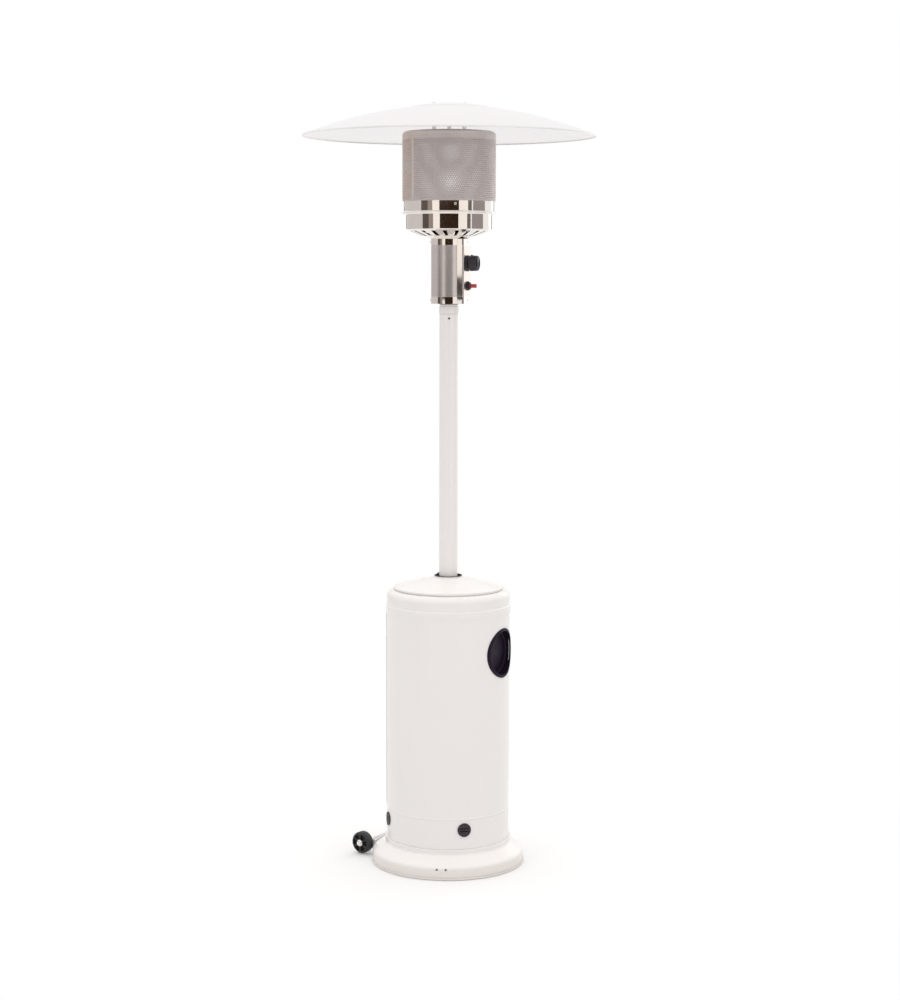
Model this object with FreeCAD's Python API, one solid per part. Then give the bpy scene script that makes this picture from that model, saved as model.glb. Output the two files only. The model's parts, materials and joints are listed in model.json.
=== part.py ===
"""Gas patio heater, 2.2 m tall, as separate pieces in one frame.

Millimetres. The origin is on the ground at the centre of the base, +Z is up and the front faces -Y.
An azimuth is an angle about the pole: 0 is the front and it grows towards +X.
"""
import FreeCAD
import Part
import math
import os

# Base
base_radius = 224.0
base_height = 79.0
pan_sheet = 1.5
pan_wall_height = 36.4
pan_wall_rounding = 20.0
neck_radius = 184.5
neck_foot_height = 64.0
neck_foot_rounding = 10.0
step_height = 9.0
step_gap = 1.5
step_rounding = 2.5
trim_height = 10.0
trim_wall = 1.5
trim_floor = 2.0
trim_gap = 0.1
hole_pairs = 3
first_pair_azimuth = -4.7
pair_hole_radius = 3.0
pair_hole_spacing = 26.0
pair_hole_height = 32.0

# Transport wheels, on the last pair of holes
wheel_radius = 32.0
wheel_width = 28.0
wheel_ground_gap = 3.0
wheel_crown = 5.0
wheel_rim_wall = 7.0
wheel_spokes = 6
wheel_spoke_width = 4.5
wheel_pocket_depth = 8.0
wheel_boss_radius = 11.0
wheel_half_track = 96.0
axle_reach = 243.0
axle_radius = 5.0
axle_running_gap = 0.05
axle_bracket_gap = 0.1
bracket_sheet = 3.0
bracket_low = 12.0
bracket_high = 42.0
ear_rounding = 11.0
ear_half_span = 78.0
wheel_side_play = 0.5
hub_cap_radius = 8.0
hub_cap_length = 7.0
hub_cap_rim = 2.4
hub_cap_top_radius = 4.0
hub_cap_wall = 2.0

# Housing, the sleeve over the gas bottle
housing_radius = 180.0
housing_sheet = 1.0
housing_height = 733.0
housing_shoulder = 20.0
housing_mouth_radius = 140.0
bead_ramp = 4.0
top_bead_drop = 70.0
top_bead_width = 20.0
top_bead_proud = 2.0
seam_rise = 97.0
seam_azimuth = -88.0
seam_width = 14.0
seam_proud = 1.8
lid_radius = 159.5
lid_sheet = 1.0
lid_rim_height = 8.0
lid_rise = 40.0
lid_rim_rounding = 4.0
lid_hole_radius = 40.0
lid_lip_height = 3.0

# Hand grips and vent plugs in the housing wall
right_grip_azimuth = 62.0
left_grip_azimuth = -128.0
grip_height = 637.0
grip_radius = 72.0
grip_hole_radius = 67.0
grip_proud = 4.0
grip_face_bend = 200.0
grip_pocket_radius = 64.0
grip_pocket_depth = 24.0
grip_wall = 2.0
vent_count = 4
vent_first_azimuth = 15.3
vent_height = 136.0
vent_radius = 19.8
vent_hole_radius = 16.0
vent_proud = 3.5
vent_wall = 1.6
vent_cover = 2.6
vent_depth = 6.0
vent_slots = 2
vent_slot_width = 2.4
fit_gap = 0.1

# Posts and pole bracket round the gas bottle
post_count = 3
first_post_azimuth = 31.5
post_circle = 165.0
post_radius = 11.0
post_wall = 1.5
post_length = 682.0
post_plug = 12.0
bolt_radius = 4.0
bolt_hole_gap = 0.3
bolt_head_width = 13.0
bolt_head_height = 5.5
bolt_reach = 10.0
bracket_plate = 4.0
bracket_hub_radius = 58.0
bracket_arm_radius = 12.0
bracket_hub_rounding = 25.0
spigot_wall = 2.0
spigot_length = 106.0

# Pole
pole_radius = 27.0
pole_wall = 1.5
pole_length = 839.0
pole_bolt_drop = 26.0
pole_bolt_azimuths = (-88.0, 152.0)
pole_bolt_radius = 3.0
pole_bolt_head_radius = 5.0
pole_bolt_head = 5.0
pole_bolt_tail = 2.0

# Neck between the pole and the control head
collar_radius = 28.4
collar_height = 22.0
collar_bevel = 2.0
neck_tube_radius = 26.0
neck_tube_height = 7.0
neck_wall = 2.0
neck_tail = 38.0
neck_flange_radius = 37.0
neck_flange = 3.0
spigot_gap = 0.1

# Control head; its flat panel faces the panel azimuth
panel_azimuth = 72.0
head_radius = 51.5
head_height = 185.0
head_sheet = 1.2
panel_reach = 56.0
panel_half_width = 36.5
panel_corner = 5.0
cap_sheet = 0.8
bottom_cap_height = 20.0
top_cap_height = 18.0

# Gas valve, knob, igniter and what feeds the burner
knob_height = 115.6
knob_base_radius = 22.5
knob_front_radius = 21.5
knob_length = 22.0
knob_bar_width = 12.0
knob_bevel = 3.0
knob_wall = 2.5
knob_pocket_depth = 12.0
knob_hub_radius = 8.0
knob_hub_depth = 8.0
knob_hollow_depth = 7.0
knob_bezel_radius = 23.0
knob_bezel = 5.0
knob_push = 4.0
push_spare = 1.0
pointer_width = 3.0
pointer_proud = 1.6
pointer_length = 6.0
stem_radius = 4.0
stem_flat = 2.8
stem_inset = 6.0
stem_collar_radius = 6.5
stem_collar = 1.5
running_gap = 0.05
valve_width = 36.0
valve_height = 44.0
valve_back = 14.0
valve_wall = 3.0
valve_boss_radius = 10.0
thrust_ring_radius = 7.5
thrust_ring = 2.0
spring_wire = 0.9
spring_turns = 4
coil_steps = 10
spring_ledge = 1.5
spring_pocket = 4.0
pipe_radius = 5.0
pipe_wall = 1.0
inlet_thread_radius = 8.0
inlet_hex = 22.0
inlet_hex_height = 9.0
inlet_root_radius = 4.6
inlet_bore_radius = 3.0
inlet_barbs = 2
inlet_barb_pitch = 7.0
inlet_barb_length = 4.0
inlet_barb_proud = 1.4
igniter_height = 51.0
igniter_nut_width = 23.0
igniter_nut = 9.0
igniter_hex = 5.4
igniter_lip = 1.5
igniter_cover = 1.5
igniter_thread_radius = 9.0
igniter_body_radius = 12.0
igniter_body_length = 34.0
terminal_radius = 2.5
terminal_length = 6.0
button_radius = 5.5
button_reach = 27.5
button_gap = 1.0
button_push = 8.0
button_bevel = 1.2
switch_radius = 13.0
switch_height = 40.0
switch_offset = 30.0

# Burner bowl, plate, bands and emitter
bowl_floor_radius = 53.0
bowl_radius = 123.0
bowl_cone_height = 26.0
bowl_wall_height = 43.0
bowl_sheet = 1.0
bowl_slots = 20
first_slot_azimuth = -6.0
slot_width = 12.0
slot_inner = 76.0
slot_outer = 113.0
plate_radius = 135.0
plate_rim_height = 9.0
plate_sheet = 1.5
plate_rounding = 3.0
band_radius = 129.5
band_height = 36.5
band_sheet = 1.0
band_seat = 8.0
screen_radius = 133.0
screen_height = 173.0
screen_sheet = 0.8
screen_seam_azimuth = -50.0
screen_seam_width = 16.0
screen_seam_gap = 1.0
emitter_cap_height = 24.0
emitter_cap_rounding = 12.0
emitter_cap_overlap = 8.0
venturi_radius = 15.0
venturi_mouth_radius = 21.0
venturi_wall = 1.2
venturi_gap = 34.0
venturi_flare = 10.0
venturi_flange = 12.0
venturi_flange_sheet = 2.0
cup_radius = 62.0
cup_floor_rise = 14.5
cup_height = 22.0
cup_sheet = 1.0
cup_ports = 24
port_width = 3.0
port_height = 10.0
port_sill = 6.0
jet_flange_radius = 13.0
jet_flange = 3.0
jet_hex = 16.0
jet_hex_height = 8.0
jet_length = 24.0
jet_root_radius = 6.0
jet_tip_radius = 3.0
jet_bore_radius = 0.8

# Pilot light, beside the cup on the panel's side
pilot_reach = 84.0
pilot_spacing = 14.0
pilot_radius = 4.0
pilot_height = 46.0
pilot_foot_proud = 2.0
pilot_foot_height = 7.0
pilot_pipe_radius = 2.0
pilot_pipe_rise = 12.0
pilot_port_reach = 22.0
probe_radius = 2.0
probe_height = 52.0
probe_tail = 12.0
probe_shoulder_proud = 1.5
probe_shoulder_height = 8.0
thermocouple_radius = 1.6
electrode_radius = 1.1
pilot_plate = 2.0
pilot_plate_half = 8.0
pilot_plate_margin = 7.0

# Reflector and its stand-offs
reflector_radius = 420.0
reflector_sheet = 1.2
reflector_height = 91.0
reflector_gap = -14.0
crown_flat_radius = 69.0
crown_radius = 118.0
crown_drop = 9.0
crown_step = 2.0
dome_mid_radius = 275.0
dome_mid_drop = 41.0
dome_edge_radius = 412.0
dome_edge_drop = 86.0
dome_flats = 5
rim_drop = 1.5
stud_count = 3
stud_circle = 50.0
first_stud_azimuth = 60.0
stud_radius = 6.0
stud_thread_radius = 2.5
stud_nut_width = 9.0
stud_nut_height = 4.0

# How far a cutter reaches past what it cuts
cut_spare = 1.0

# Corners are pressed as flats: one for a small rounding, else one for each step of turn in degrees
small_rounding = 8.0
flat_turn = 30.0

# A turn below this many radians counts as straight on
straight_turn = 0.001

# Heights that follow from the driving sizes
platform_height = base_height + step_height
post_top = platform_height + post_length
pole_bottom = post_top + bracket_plate
pole_top = pole_bottom + pole_length
pole_bolt_z = pole_bottom + spigot_length - pole_bolt_drop
housing_top = base_height + housing_height
lid_top = housing_top + lid_rise
head_bottom = pole_top + collar_height + neck_tube_height
neck_top = head_bottom + cap_sheet + neck_flange
head_top = head_bottom + head_height
cone_top = head_top + bowl_cone_height
bowl_top = cone_top + bowl_wall_height
plate_floor = bowl_top + plate_sheet
band_top = plate_floor + band_height
screen_top = band_top + screen_height
emitter_top = screen_top + emitter_cap_height
reflector_rim = emitter_top + reflector_gap
reflector_top = reflector_rim + reflector_height
knob_z = head_bottom + knob_height
igniter_z = head_bottom + igniter_height
pan_radius = base_radius - trim_wall - trim_gap
step_radius = housing_radius - housing_sheet - step_gap
wheel_azimuth = first_pair_azimuth - 360.0 / hole_pairs
wheel_z = wheel_ground_gap + wheel_radius
spigot_radius = pole_radius - pole_wall - spigot_gap


def point(x, y, z):
    return FreeCAD.Vector(x, y, z)


UP = point(0, 0, 1)
OUT = point(1, 0, 0)
ALONG = point(0, 1, 0)


def turned(shape, azimuth):
    """A copy of a shape modelled towards +X, turned to face an azimuth."""
    copy = shape.copy()
    copy.rotate(point(0, 0, 0), UP, azimuth - 90.0)
    return copy


def ring_of(shape, count, first_azimuth):
    """Copies of a shape modelled towards +X, evenly spaced round the pole."""
    return [turned(shape, first_azimuth + i * 360.0 / count) for i in range(count)]


def upright(radius, low, high, x=0.0, y=0.0):
    return Part.makeCylinder(radius, high - low, point(x, y, low), UP)


def rod(radius, near, far, z, y=0.0):
    """A round bar along +X."""
    return Part.makeCylinder(radius, far - near, point(near, y, z), OUT)


def tube(outer, inner, low, high):
    return upright(outer, low, high).cut(upright(inner, low, high))


def block(x_low, x_high, y_low, y_high, z_low, z_high):
    corner = point(x_low, y_low, z_low)
    return Part.makeBox(x_high - x_low, y_high - y_low, z_high - z_low, corner)


def hexagon(width, low, high):
    """A hexagonal bar on the Z axis, by its width across flats."""
    corner = width / math.sqrt(3.0)
    corners = [point(corner * math.cos(i * math.pi / 3), corner * math.sin(i * math.pi / 3), low)
               for i in range(6)]
    return Part.Face(Part.makePolygon(corners + corners[:1])).extrude(point(0, 0, high - low))


def laid_out(shape, x, z, y=0.0):
    """Moves a shape made on the Z axis so that its +Z points along +X from (x, y, z)."""
    copy = shape.copy()
    copy.rotate(point(0, 0, 0), ALONG, 90.0)
    copy.translate(point(x, y, z))
    return copy


def corner_path(points, roundings):
    """The (r, z) points with each inner corner cut into short flats along an arc of its rounding."""
    path = [points[0]]
    for before, here, after, radius in zip(points, points[1:-1], points[2:], roundings):
        into = point(here[0] - before[0], 0, here[1] - before[1]).normalize()
        out = point(after[0] - here[0], 0, after[1] - here[1]).normalize()
        turn = into.getAngle(out)
        if radius <= 0.0 or turn < straight_turn:
            path.append(here)
            continue
        flats = max(1, round(math.degrees(turn) / flat_turn)) if radius >= small_rounding else 1
        corner = point(here[0], 0, here[1])
        centre = corner + (out - into).normalize() * (radius / math.cos(turn / 2.0))
        spoke = corner - into * (radius * math.tan(turn / 2.0)) - centre
        axis = into.cross(out)
        for i in range(flats + 1):
            turned_spoke = FreeCAD.Rotation(axis, math.degrees(turn) * i / flats).multVec(spoke)
            path.append((centre.x + turned_spoke.x, centre.z + turned_spoke.z))
    path.append(points[-1])
    return path


def spun(outline):
    """Spins a closed (r, z) outline about the Z axis."""
    corners = [point(r, 0, z) for r, z in outline + outline[:1]]
    return Part.Face(Part.makePolygon(corners)).revolve(point(0, 0, 0), UP, 360)


def spun_sheet(points, roundings, sheet):
    """Spins a sheet of even thickness about the Z axis.

    The points are the outer side's (r, z) corners and the sheet lies to their left.
    """
    steps = [(b[0] - a[0], b[1] - a[1]) for a, b in zip(points, points[1:])]
    steps = [(dr / math.hypot(dr, dz), dz / math.hypot(dr, dz)) for dr, dz in steps]
    sides = [(-dz, dr) for dr, dz in steps]
    inner = [(points[0][0] + sheet * sides[0][0], points[0][1] + sheet * sides[0][1])]
    inner_roundings = []
    for i in range(1, len(points) - 1):
        before = sides[i - 1]
        after = sides[i]
        share = sheet / (1.0 + before[0] * after[0] + before[1] * after[1])
        inner.append((points[i][0] + share * (before[0] + after[0]),
                      points[i][1] + share * (before[1] + after[1])))
        left_turn = steps[i - 1][0] * steps[i][1] - steps[i - 1][1] * steps[i][0] > 0.0
        rounding = roundings[i - 1]
        if rounding > 0.0:
            rounding = rounding - sheet if left_turn else rounding + sheet
        inner_roundings.append(max(rounding, 0.0))
    inner.append((points[-1][0] + sheet * sides[-1][0], points[-1][1] + sheet * sides[-1][1]))
    outside = corner_path(points, roundings)
    inside = corner_path(inner, inner_roundings)
    return spun(outside + inside[::-1])


def joined(first, *others):
    """One solid from overlapping or touching shapes, without leftover seams."""
    return first.multiFuse(list(others)).removeSplitter()


# Base

def base_pan():
    """The pressed base: wall, sloping shoulder, neck, and the raised platform the bottle stands on."""
    outline = [(pan_radius, trim_floor), (pan_radius, pan_wall_height), (neck_radius, neck_foot_height),
               (neck_radius, base_height), (step_radius, base_height), (step_radius, platform_height),
               (0, platform_height)]
    roundings = [pan_wall_rounding, neck_foot_rounding, 0.0, 0.0, step_rounding]
    pan = spun_sheet(outline, roundings, pan_sheet)
    drills = []
    for side in (-1, 1):
        y = side * pair_hole_spacing / 2
        drill = rod(pair_hole_radius, neck_radius, base_radius, pair_hole_height, y)
        drills += ring_of(drill, hole_pairs, first_pair_azimuth)
    post_drill = upright(bolt_radius + bolt_hole_gap, base_height, platform_height + cut_spare, post_circle)
    drills += ring_of(post_drill, post_count, first_post_azimuth)
    return pan.cut(drills)


def edge_trim():
    """The plastic strip clipped round the foot of the pan's wall, on which the heater stands."""
    inner = pan_radius - pan_sheet - trim_gap - trim_wall
    strip = tube(base_radius, inner, 0, trim_height)
    return strip.cut(tube(pan_radius + trim_gap, inner - cut_spare, trim_floor, trim_height))


def wheel_bracket():
    """A curved back plate against the pan's wall with an ear at each end for the axle."""
    seat = pan_radius + trim_gap
    plate = tube(seat + bracket_sheet, seat, bracket_low, bracket_high)
    plate = plate.common(block(0, base_radius * 2, -ear_half_span, ear_half_span, 0, base_height))
    root = math.sqrt(seat ** 2 - ear_half_span ** 2)
    ears = []
    for side in (-1, 1):
        inner = side * ear_half_span - (bracket_sheet if side > 0 else 0)
        corners = [(root, bracket_low), (axle_reach, wheel_z - ear_rounding),
                   (axle_reach, wheel_z + ear_rounding), (root, bracket_high), (root, bracket_low)]
        web = Part.Face(Part.makePolygon([point(x, inner, z) for x, z in corners]))
        web = web.extrude(point(0, bracket_sheet, 0))
        end = Part.makeCylinder(ear_rounding, bracket_sheet, point(axle_reach, inner, wheel_z), ALONG)
        ears += [web, end]
    drill_half = ear_half_span + cut_spare
    axle_hole = Part.makeCylinder(axle_radius + axle_bracket_gap, 2 * drill_half,
                                  point(axle_reach, -drill_half, wheel_z), ALONG)
    drills = [rod(pair_hole_radius, neck_radius, axle_reach, pair_hole_height, y)
              for y in (-pair_hole_spacing / 2, pair_hole_spacing / 2)]
    bracket = joined(plate, *ears).cut([axle_hole, upright(seat, 0, base_height)] + drills)
    return turned(bracket, wheel_azimuth)


def axle():
    half = wheel_half_track + wheel_width / 2 + wheel_side_play + hub_cap_length - hub_cap_wall
    bar = Part.makeCylinder(axle_radius, 2 * half, point(axle_reach, -half, wheel_z), ALONG)
    return turned(bar, wheel_azimuth)


def wheel(side):
    """A moulded wheel with a crowned tread, pockets between the spokes and a long inner boss."""
    half = wheel_width / 2
    front = half + cut_spare
    floor = half - wheel_pocket_depth
    rim = wheel_radius - wheel_rim_wall
    body = spun([(0, -half), (wheel_radius - wheel_crown, -half), (wheel_radius, wheel_crown - half),
                 (wheel_radius, half - wheel_crown), (wheel_radius - wheel_crown, half), (0, half)])
    spoke = block(0, wheel_radius, -wheel_spoke_width / 2, wheel_spoke_width / 2, floor, front)
    pockets = tube(rim, wheel_boss_radius, floor, front).cut(ring_of(spoke, wheel_spokes, 0.0))
    inner_end = wheel_half_track - ear_half_span - wheel_side_play
    boss = upright(wheel_boss_radius, -inner_end, 0)
    bore = upright(axle_radius + axle_running_gap, -inner_end - cut_spare, front)
    body = body.fuse(boss).cut([pockets, bore])
    body.rotate(point(0, 0, 0), OUT, -90.0 * side)
    body.translate(point(axle_reach, side * wheel_half_track, wheel_z))
    return turned(body, wheel_azimuth)


def hub_caps():
    """Pressed domes on the axle's ends that keep the wheels on."""
    start = wheel_half_track + wheel_width / 2 + wheel_side_play
    caps = []
    for side in (-1, 1):
        dome = spun([(0, 0), (hub_cap_radius, 0), (hub_cap_radius, hub_cap_rim),
                     (hub_cap_top_radius, hub_cap_length), (0, hub_cap_length)])
        dome = dome.cut(upright(axle_radius, -cut_spare, hub_cap_length - hub_cap_wall))
        dome.rotate(point(0, 0, 0), OUT, -90.0 * side)
        dome.translate(point(axle_reach, side * start, wheel_z))
        caps.append(turned(dome, wheel_azimuth))
    return Part.makeCompound(caps)


# Posts and pole

def support_post(azimuth):
    """A tube with a plug welded in each end, drilled for its bolt."""
    post = tube(post_radius, post_radius - post_wall, platform_height, post_top)
    low_plug = upright(post_radius - post_wall, platform_height, platform_height + post_plug)
    high_plug = upright(post_radius - post_wall, post_top - post_plug, post_top)
    post = joined(post, low_plug, high_plug)
    hole = bolt_radius + bolt_hole_gap
    post = post.cut([upright(hole, platform_height - cut_spare, platform_height + post_plug + cut_spare),
                     upright(hole, post_top - post_plug - cut_spare, post_top + cut_spare)])
    post.translate(point(post_circle, 0, 0))
    return turned(post, azimuth)


def post_bolts():
    """Hexagon bolts: up through the platform into each post, and down through the bracket."""
    under = platform_height - pan_sheet
    low = hexagon(bolt_head_width, under - bolt_head_height, under)
    low = low.fuse(upright(bolt_radius, under, platform_height + bolt_reach))
    high = hexagon(bolt_head_width, pole_bottom, pole_bottom + bolt_head_height)
    high = high.fuse(upright(bolt_radius, post_top - bolt_reach, pole_bottom))
    bolts = []
    for bolt in (low, high):
        bolt.translate(point(post_circle, 0, 0))
        bolts += ring_of(bolt, post_count, first_post_azimuth)
    return Part.makeCompound(bolts)


def pole_bracket():
    """A three-armed plate on the posts with the spigot that the pole slides over."""
    hub = upright(bracket_hub_radius, post_top, pole_bottom)
    arm = block(0, post_circle, -bracket_arm_radius, bracket_arm_radius, post_top, pole_bottom)
    arm = arm.fuse(upright(bracket_arm_radius, post_top, pole_bottom, post_circle))
    plate = joined(hub, *ring_of(arm, post_count, first_post_azimuth))
    inner_corner = bracket_hub_radius + fit_gap
    corners = [e for e in plate.Edges
               if abs(e.Vertexes[0].Point.z - e.Vertexes[-1].Point.z) > bracket_plate / 2
               and math.hypot(e.Vertexes[0].Point.x, e.Vertexes[0].Point.y) < inner_corner]
    plate = plate.makeFillet(bracket_hub_rounding, corners)
    plate = joined(plate, upright(spigot_radius, pole_bottom, pole_bottom + spigot_length))
    low = post_top - cut_spare
    drill = upright(bolt_radius + bolt_hole_gap, low, pole_bottom + cut_spare, post_circle)
    drills = ring_of(drill, post_count, first_post_azimuth)
    drills.append(upright(spigot_radius - spigot_wall, low, pole_bottom + spigot_length + cut_spare))
    bolt_hole = rod(pole_bolt_radius, 0, spigot_radius + cut_spare, pole_bolt_z)
    drills += [turned(bolt_hole, azimuth) for azimuth in pole_bolt_azimuths]
    return plate.cut(drills)


def pole():
    barrel = tube(pole_radius, pole_radius - pole_wall, pole_bottom, pole_top)
    bolt_hole = rod(pole_bolt_radius, 0, pole_radius + cut_spare, pole_bolt_z)
    return barrel.cut([turned(bolt_hole, azimuth) for azimuth in pole_bolt_azimuths])


def pole_bolts():
    flat = math.sqrt(pole_radius ** 2 - pole_bolt_radius ** 2)
    head = hexagon(pole_bolt_head_radius * 2, 0, pole_bolt_head)
    shank = upright(pole_bolt_radius, flat - pole_radius - pole_wall - spigot_wall - pole_bolt_tail, 0)
    bolt = laid_out(head.fuse(shank), pole_radius + fit_gap, pole_bolt_z)
    return Part.makeCompound([turned(bolt, azimuth) for azimuth in pole_bolt_azimuths])


def neck():
    """The turned piece that joins pole and head: tail inside the pole, collar, short tube and flange."""
    collar_top = pole_top + collar_height
    collar = spun([(0, pole_top), (collar_radius, pole_top), (collar_radius, collar_top - collar_bevel),
                   (collar_radius - collar_bevel, collar_top), (0, collar_top)])
    tail = upright(spigot_radius, pole_top - neck_tail, pole_top)
    riser = upright(neck_tube_radius, collar_top, head_bottom + cap_sheet)
    flange = upright(neck_flange_radius, head_bottom + cap_sheet, neck_top)
    bore = upright(spigot_radius - neck_wall, pole_top - neck_tail - cut_spare, head_bottom + cap_sheet)
    inlet_hole = upright(inlet_thread_radius + fit_gap, head_bottom, neck_top + cut_spare)
    return joined(collar, tail, riser, flange).cut([bore, inlet_hole])


# Housing

def wall_bead(low, width, proud):
    """A rolled bead round the housing's wall."""
    root = housing_radius - housing_sheet / 2
    crest = housing_radius + proud
    high = low + 2 * bead_ramp + width
    return spun([(root, low), (housing_radius, low), (crest, low + bead_ramp), (crest, high - bead_ramp),
                 (housing_radius, high), (root, high)])


def wall_opening(radius, z):
    """A round cutter through one side of the housing wall."""
    return rod(radius, 0, housing_radius * 2, z)


def housing_shell():
    """The rolled sleeve with its bead, rounded shoulder, side seam and openings."""
    outline = [(housing_radius, base_height), (housing_radius, housing_top),
               (housing_mouth_radius, housing_top)]
    shell = spun_sheet(outline, [housing_shoulder], housing_sheet)
    bead = wall_bead(housing_top - top_bead_drop, top_bead_width, top_bead_proud)
    seam_low = base_height + seam_rise
    seam = tube(housing_radius + seam_proud, housing_radius - housing_sheet / 2, seam_low,
                housing_top - top_bead_drop)
    seam = seam.common(block(0, housing_radius * 2, -seam_width / 2, seam_width / 2, 0, housing_top))
    shell = joined(shell, bead, turned(seam, seam_azimuth))
    cuts = [turned(wall_opening(grip_hole_radius, grip_height), azimuth)
            for azimuth in (right_grip_azimuth, left_grip_azimuth)]
    cuts += ring_of(wall_opening(vent_hole_radius, vent_height), vent_count, vent_first_azimuth)
    return shell.cut(cuts)


def housing_lid():
    """The spun lid with an upright rim and a lip round the pole hole."""
    outline = [(lid_radius, housing_top), (lid_radius, housing_top + lid_rim_height),
               (lid_hole_radius, lid_top - lid_lip_height), (lid_hole_radius, lid_top)]
    return spun_sheet(outline, [lid_rim_rounding, 0.0], lid_sheet)


def hand_grip(azimuth):
    """A moulded cup with a broad rim that follows the wall less tightly than the wall itself."""
    face_centre = housing_radius + grip_proud - grip_face_bend
    floor = housing_radius - housing_sheet - grip_pocket_depth
    rim = rod(grip_radius, 0, housing_radius * 2, grip_height)
    low = grip_height - grip_radius - cut_spare
    high = grip_height + grip_radius + cut_spare
    bend = upright(grip_face_bend, low, high, face_centre)
    wall = upright(housing_radius + fit_gap, low - cut_spare, high + cut_spare)
    rim = rim.common(bend).cut(wall)
    rim = max(rim.Solids, key=lambda s: s.CenterOfMass.x)
    cup = rod(grip_hole_radius - fit_gap, floor - grip_wall, housing_radius + grip_proud, grip_height)
    cup = cup.common(bend)
    grip = joined(rim, cup)
    pocket = rod(grip_pocket_radius, floor, housing_radius * 2, grip_height)
    grip = grip.cut(pocket)
    return turned(grip, azimuth)


def vent_plug():
    """A pressed-in plug with a slotted cap and a collar through the wall."""
    cap = rod(vent_radius, 0, housing_radius * 2, vent_height)
    reach = vent_radius + cut_spare
    shell = tube(housing_radius + vent_proud, housing_radius + fit_gap, vent_height - reach,
                 vent_height + reach)
    cap = cap.common(shell)
    cap = max(cap.Solids, key=lambda s: s.CenterOfMass.x)
    collar = rod(vent_hole_radius - fit_gap, housing_radius - housing_sheet - vent_depth,
                 housing_radius + vent_proud / 2, vent_height)
    plug = joined(cap, collar)
    hollow = rod(vent_hole_radius - vent_wall, housing_radius - housing_sheet - vent_depth - cut_spare,
                 housing_radius + vent_proud - vent_cover, vent_height)
    plug = plug.cut(hollow)
    slots = []
    pitch = 2.0 * vent_hole_radius / (vent_slots + 2.0)
    for i in range(vent_slots):
        offset = (i - (vent_slots - 1) / 2.0) * pitch
        half = math.sqrt(vent_hole_radius ** 2 - offset ** 2) - 2.0 * vent_wall
        middle = vent_height + offset
        slots.append(block(housing_radius, housing_radius + vent_proud + cut_spare, -half, half,
                           middle - vent_slot_width / 2, middle + vent_slot_width / 2))
    return plug.cut(slots)


# Control head

def head_outline(grow):
    """The head's outline seen from above: a round back and a flat panel, grown outwards by a gap."""
    radius = head_radius + grow
    half = panel_half_width + grow
    reach = panel_reach + grow
    corner = panel_corner + grow
    side_start = math.sqrt(radius ** 2 - half ** 2)
    slant = corner * (1.0 - math.sqrt(0.5))
    edges = []
    for side in (-1, 1):
        edges.append(Part.LineSegment(point(side_start, side * half, 0),
                                      point(reach - corner, side * half, 0)).toShape())
        edges.append(Part.Arc(point(reach - corner, side * half, 0),
                              point(reach - slant, side * (half - slant), 0),
                              point(reach, side * (half - corner), 0)).toShape())
    edges.append(Part.LineSegment(point(reach, corner - half, 0), point(reach, half - corner, 0)).toShape())
    edges.append(Part.Arc(point(side_start, -half, 0), point(-radius, 0, 0),
                          point(side_start, half, 0)).toShape())
    return Part.Face(Part.Wire(Part.__sortEdges__(edges)))


def head_prism(grow, low, high):
    prism = head_outline(grow).extrude(point(0, 0, high - low))
    prism.translate(point(0, 0, low))
    return prism


def control_body():
    """The brushed sleeve of the head, with holes for the valve stem and the igniter."""
    low = head_bottom + cap_sheet
    high = head_top - cap_sheet
    sleeve = head_prism(0.0, low, high).cut(head_prism(-head_sheet, low, high))
    holes = [rod(radius + fit_gap, panel_reach - head_sheet - cut_spare, panel_reach + cut_spare, z)
             for radius, z in ((valve_boss_radius, knob_z), (igniter_thread_radius, igniter_z))]
    return turned(sleeve.cut(holes), panel_azimuth)


def head_cap(low, height, closed_below, hole):
    """A polished cap that slips over one end of the sleeve, with the hole for what runs through it."""
    cap = head_prism(fit_gap + cap_sheet, low, low + height)
    if closed_below:
        hollow = head_prism(fit_gap, low + cap_sheet, low + height)
    else:
        hollow = head_prism(fit_gap, low, low + height - cap_sheet)
    high = low + height + cut_spare
    openings = [upright(hole, low - cut_spare, high)]
    if not closed_below:
        openings.append(upright(pilot_pipe_radius + fit_gap, low, high, pilot_port_reach))
    return turned(cap.cut([hollow] + openings), panel_azimuth)


def gas_valve():
    """The cast valve behind the panel: body, front boss, outlet on top and inlet below."""
    front = panel_reach - head_sheet
    body = block(valve_back, front, -valve_width / 2, valve_width / 2, knob_z - valve_height / 2,
                 knob_z + valve_height / 2)
    boss = rod(valve_boss_radius, front, panel_reach + knob_bezel, knob_z)
    arm = rod(pipe_radius + valve_wall, 0, valve_back, knob_z)
    turret = upright(pipe_radius + valve_wall, knob_z - valve_height / 2, knob_z + valve_height / 2)
    body = joined(body, boss, arm, turret)
    bore_end = panel_reach + knob_bezel + cut_spare
    stem_bore = rod(stem_radius + running_gap, valve_back + stem_inset, bore_end, knob_z)
    ring_bore = rod(thrust_ring_radius + running_gap, spring_seat_x(), bore_end, knob_z)
    pilot_hole = upright(pilot_pipe_radius, knob_z, knob_z + valve_height, pilot_port_reach)
    gas_way = upright(pipe_radius - pipe_wall, knob_z - valve_height, knob_z + valve_height)
    return turned(body.cut([stem_bore, ring_bore, pilot_hole, gas_way]), panel_azimuth)


def spring_seat_x():
    """The bottom of the valve's spring pocket."""
    spring_length = spring_turns * spring_wire * 2.0 + knob_push + push_spare
    return panel_reach + knob_bezel - thrust_ring - spring_length


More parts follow.
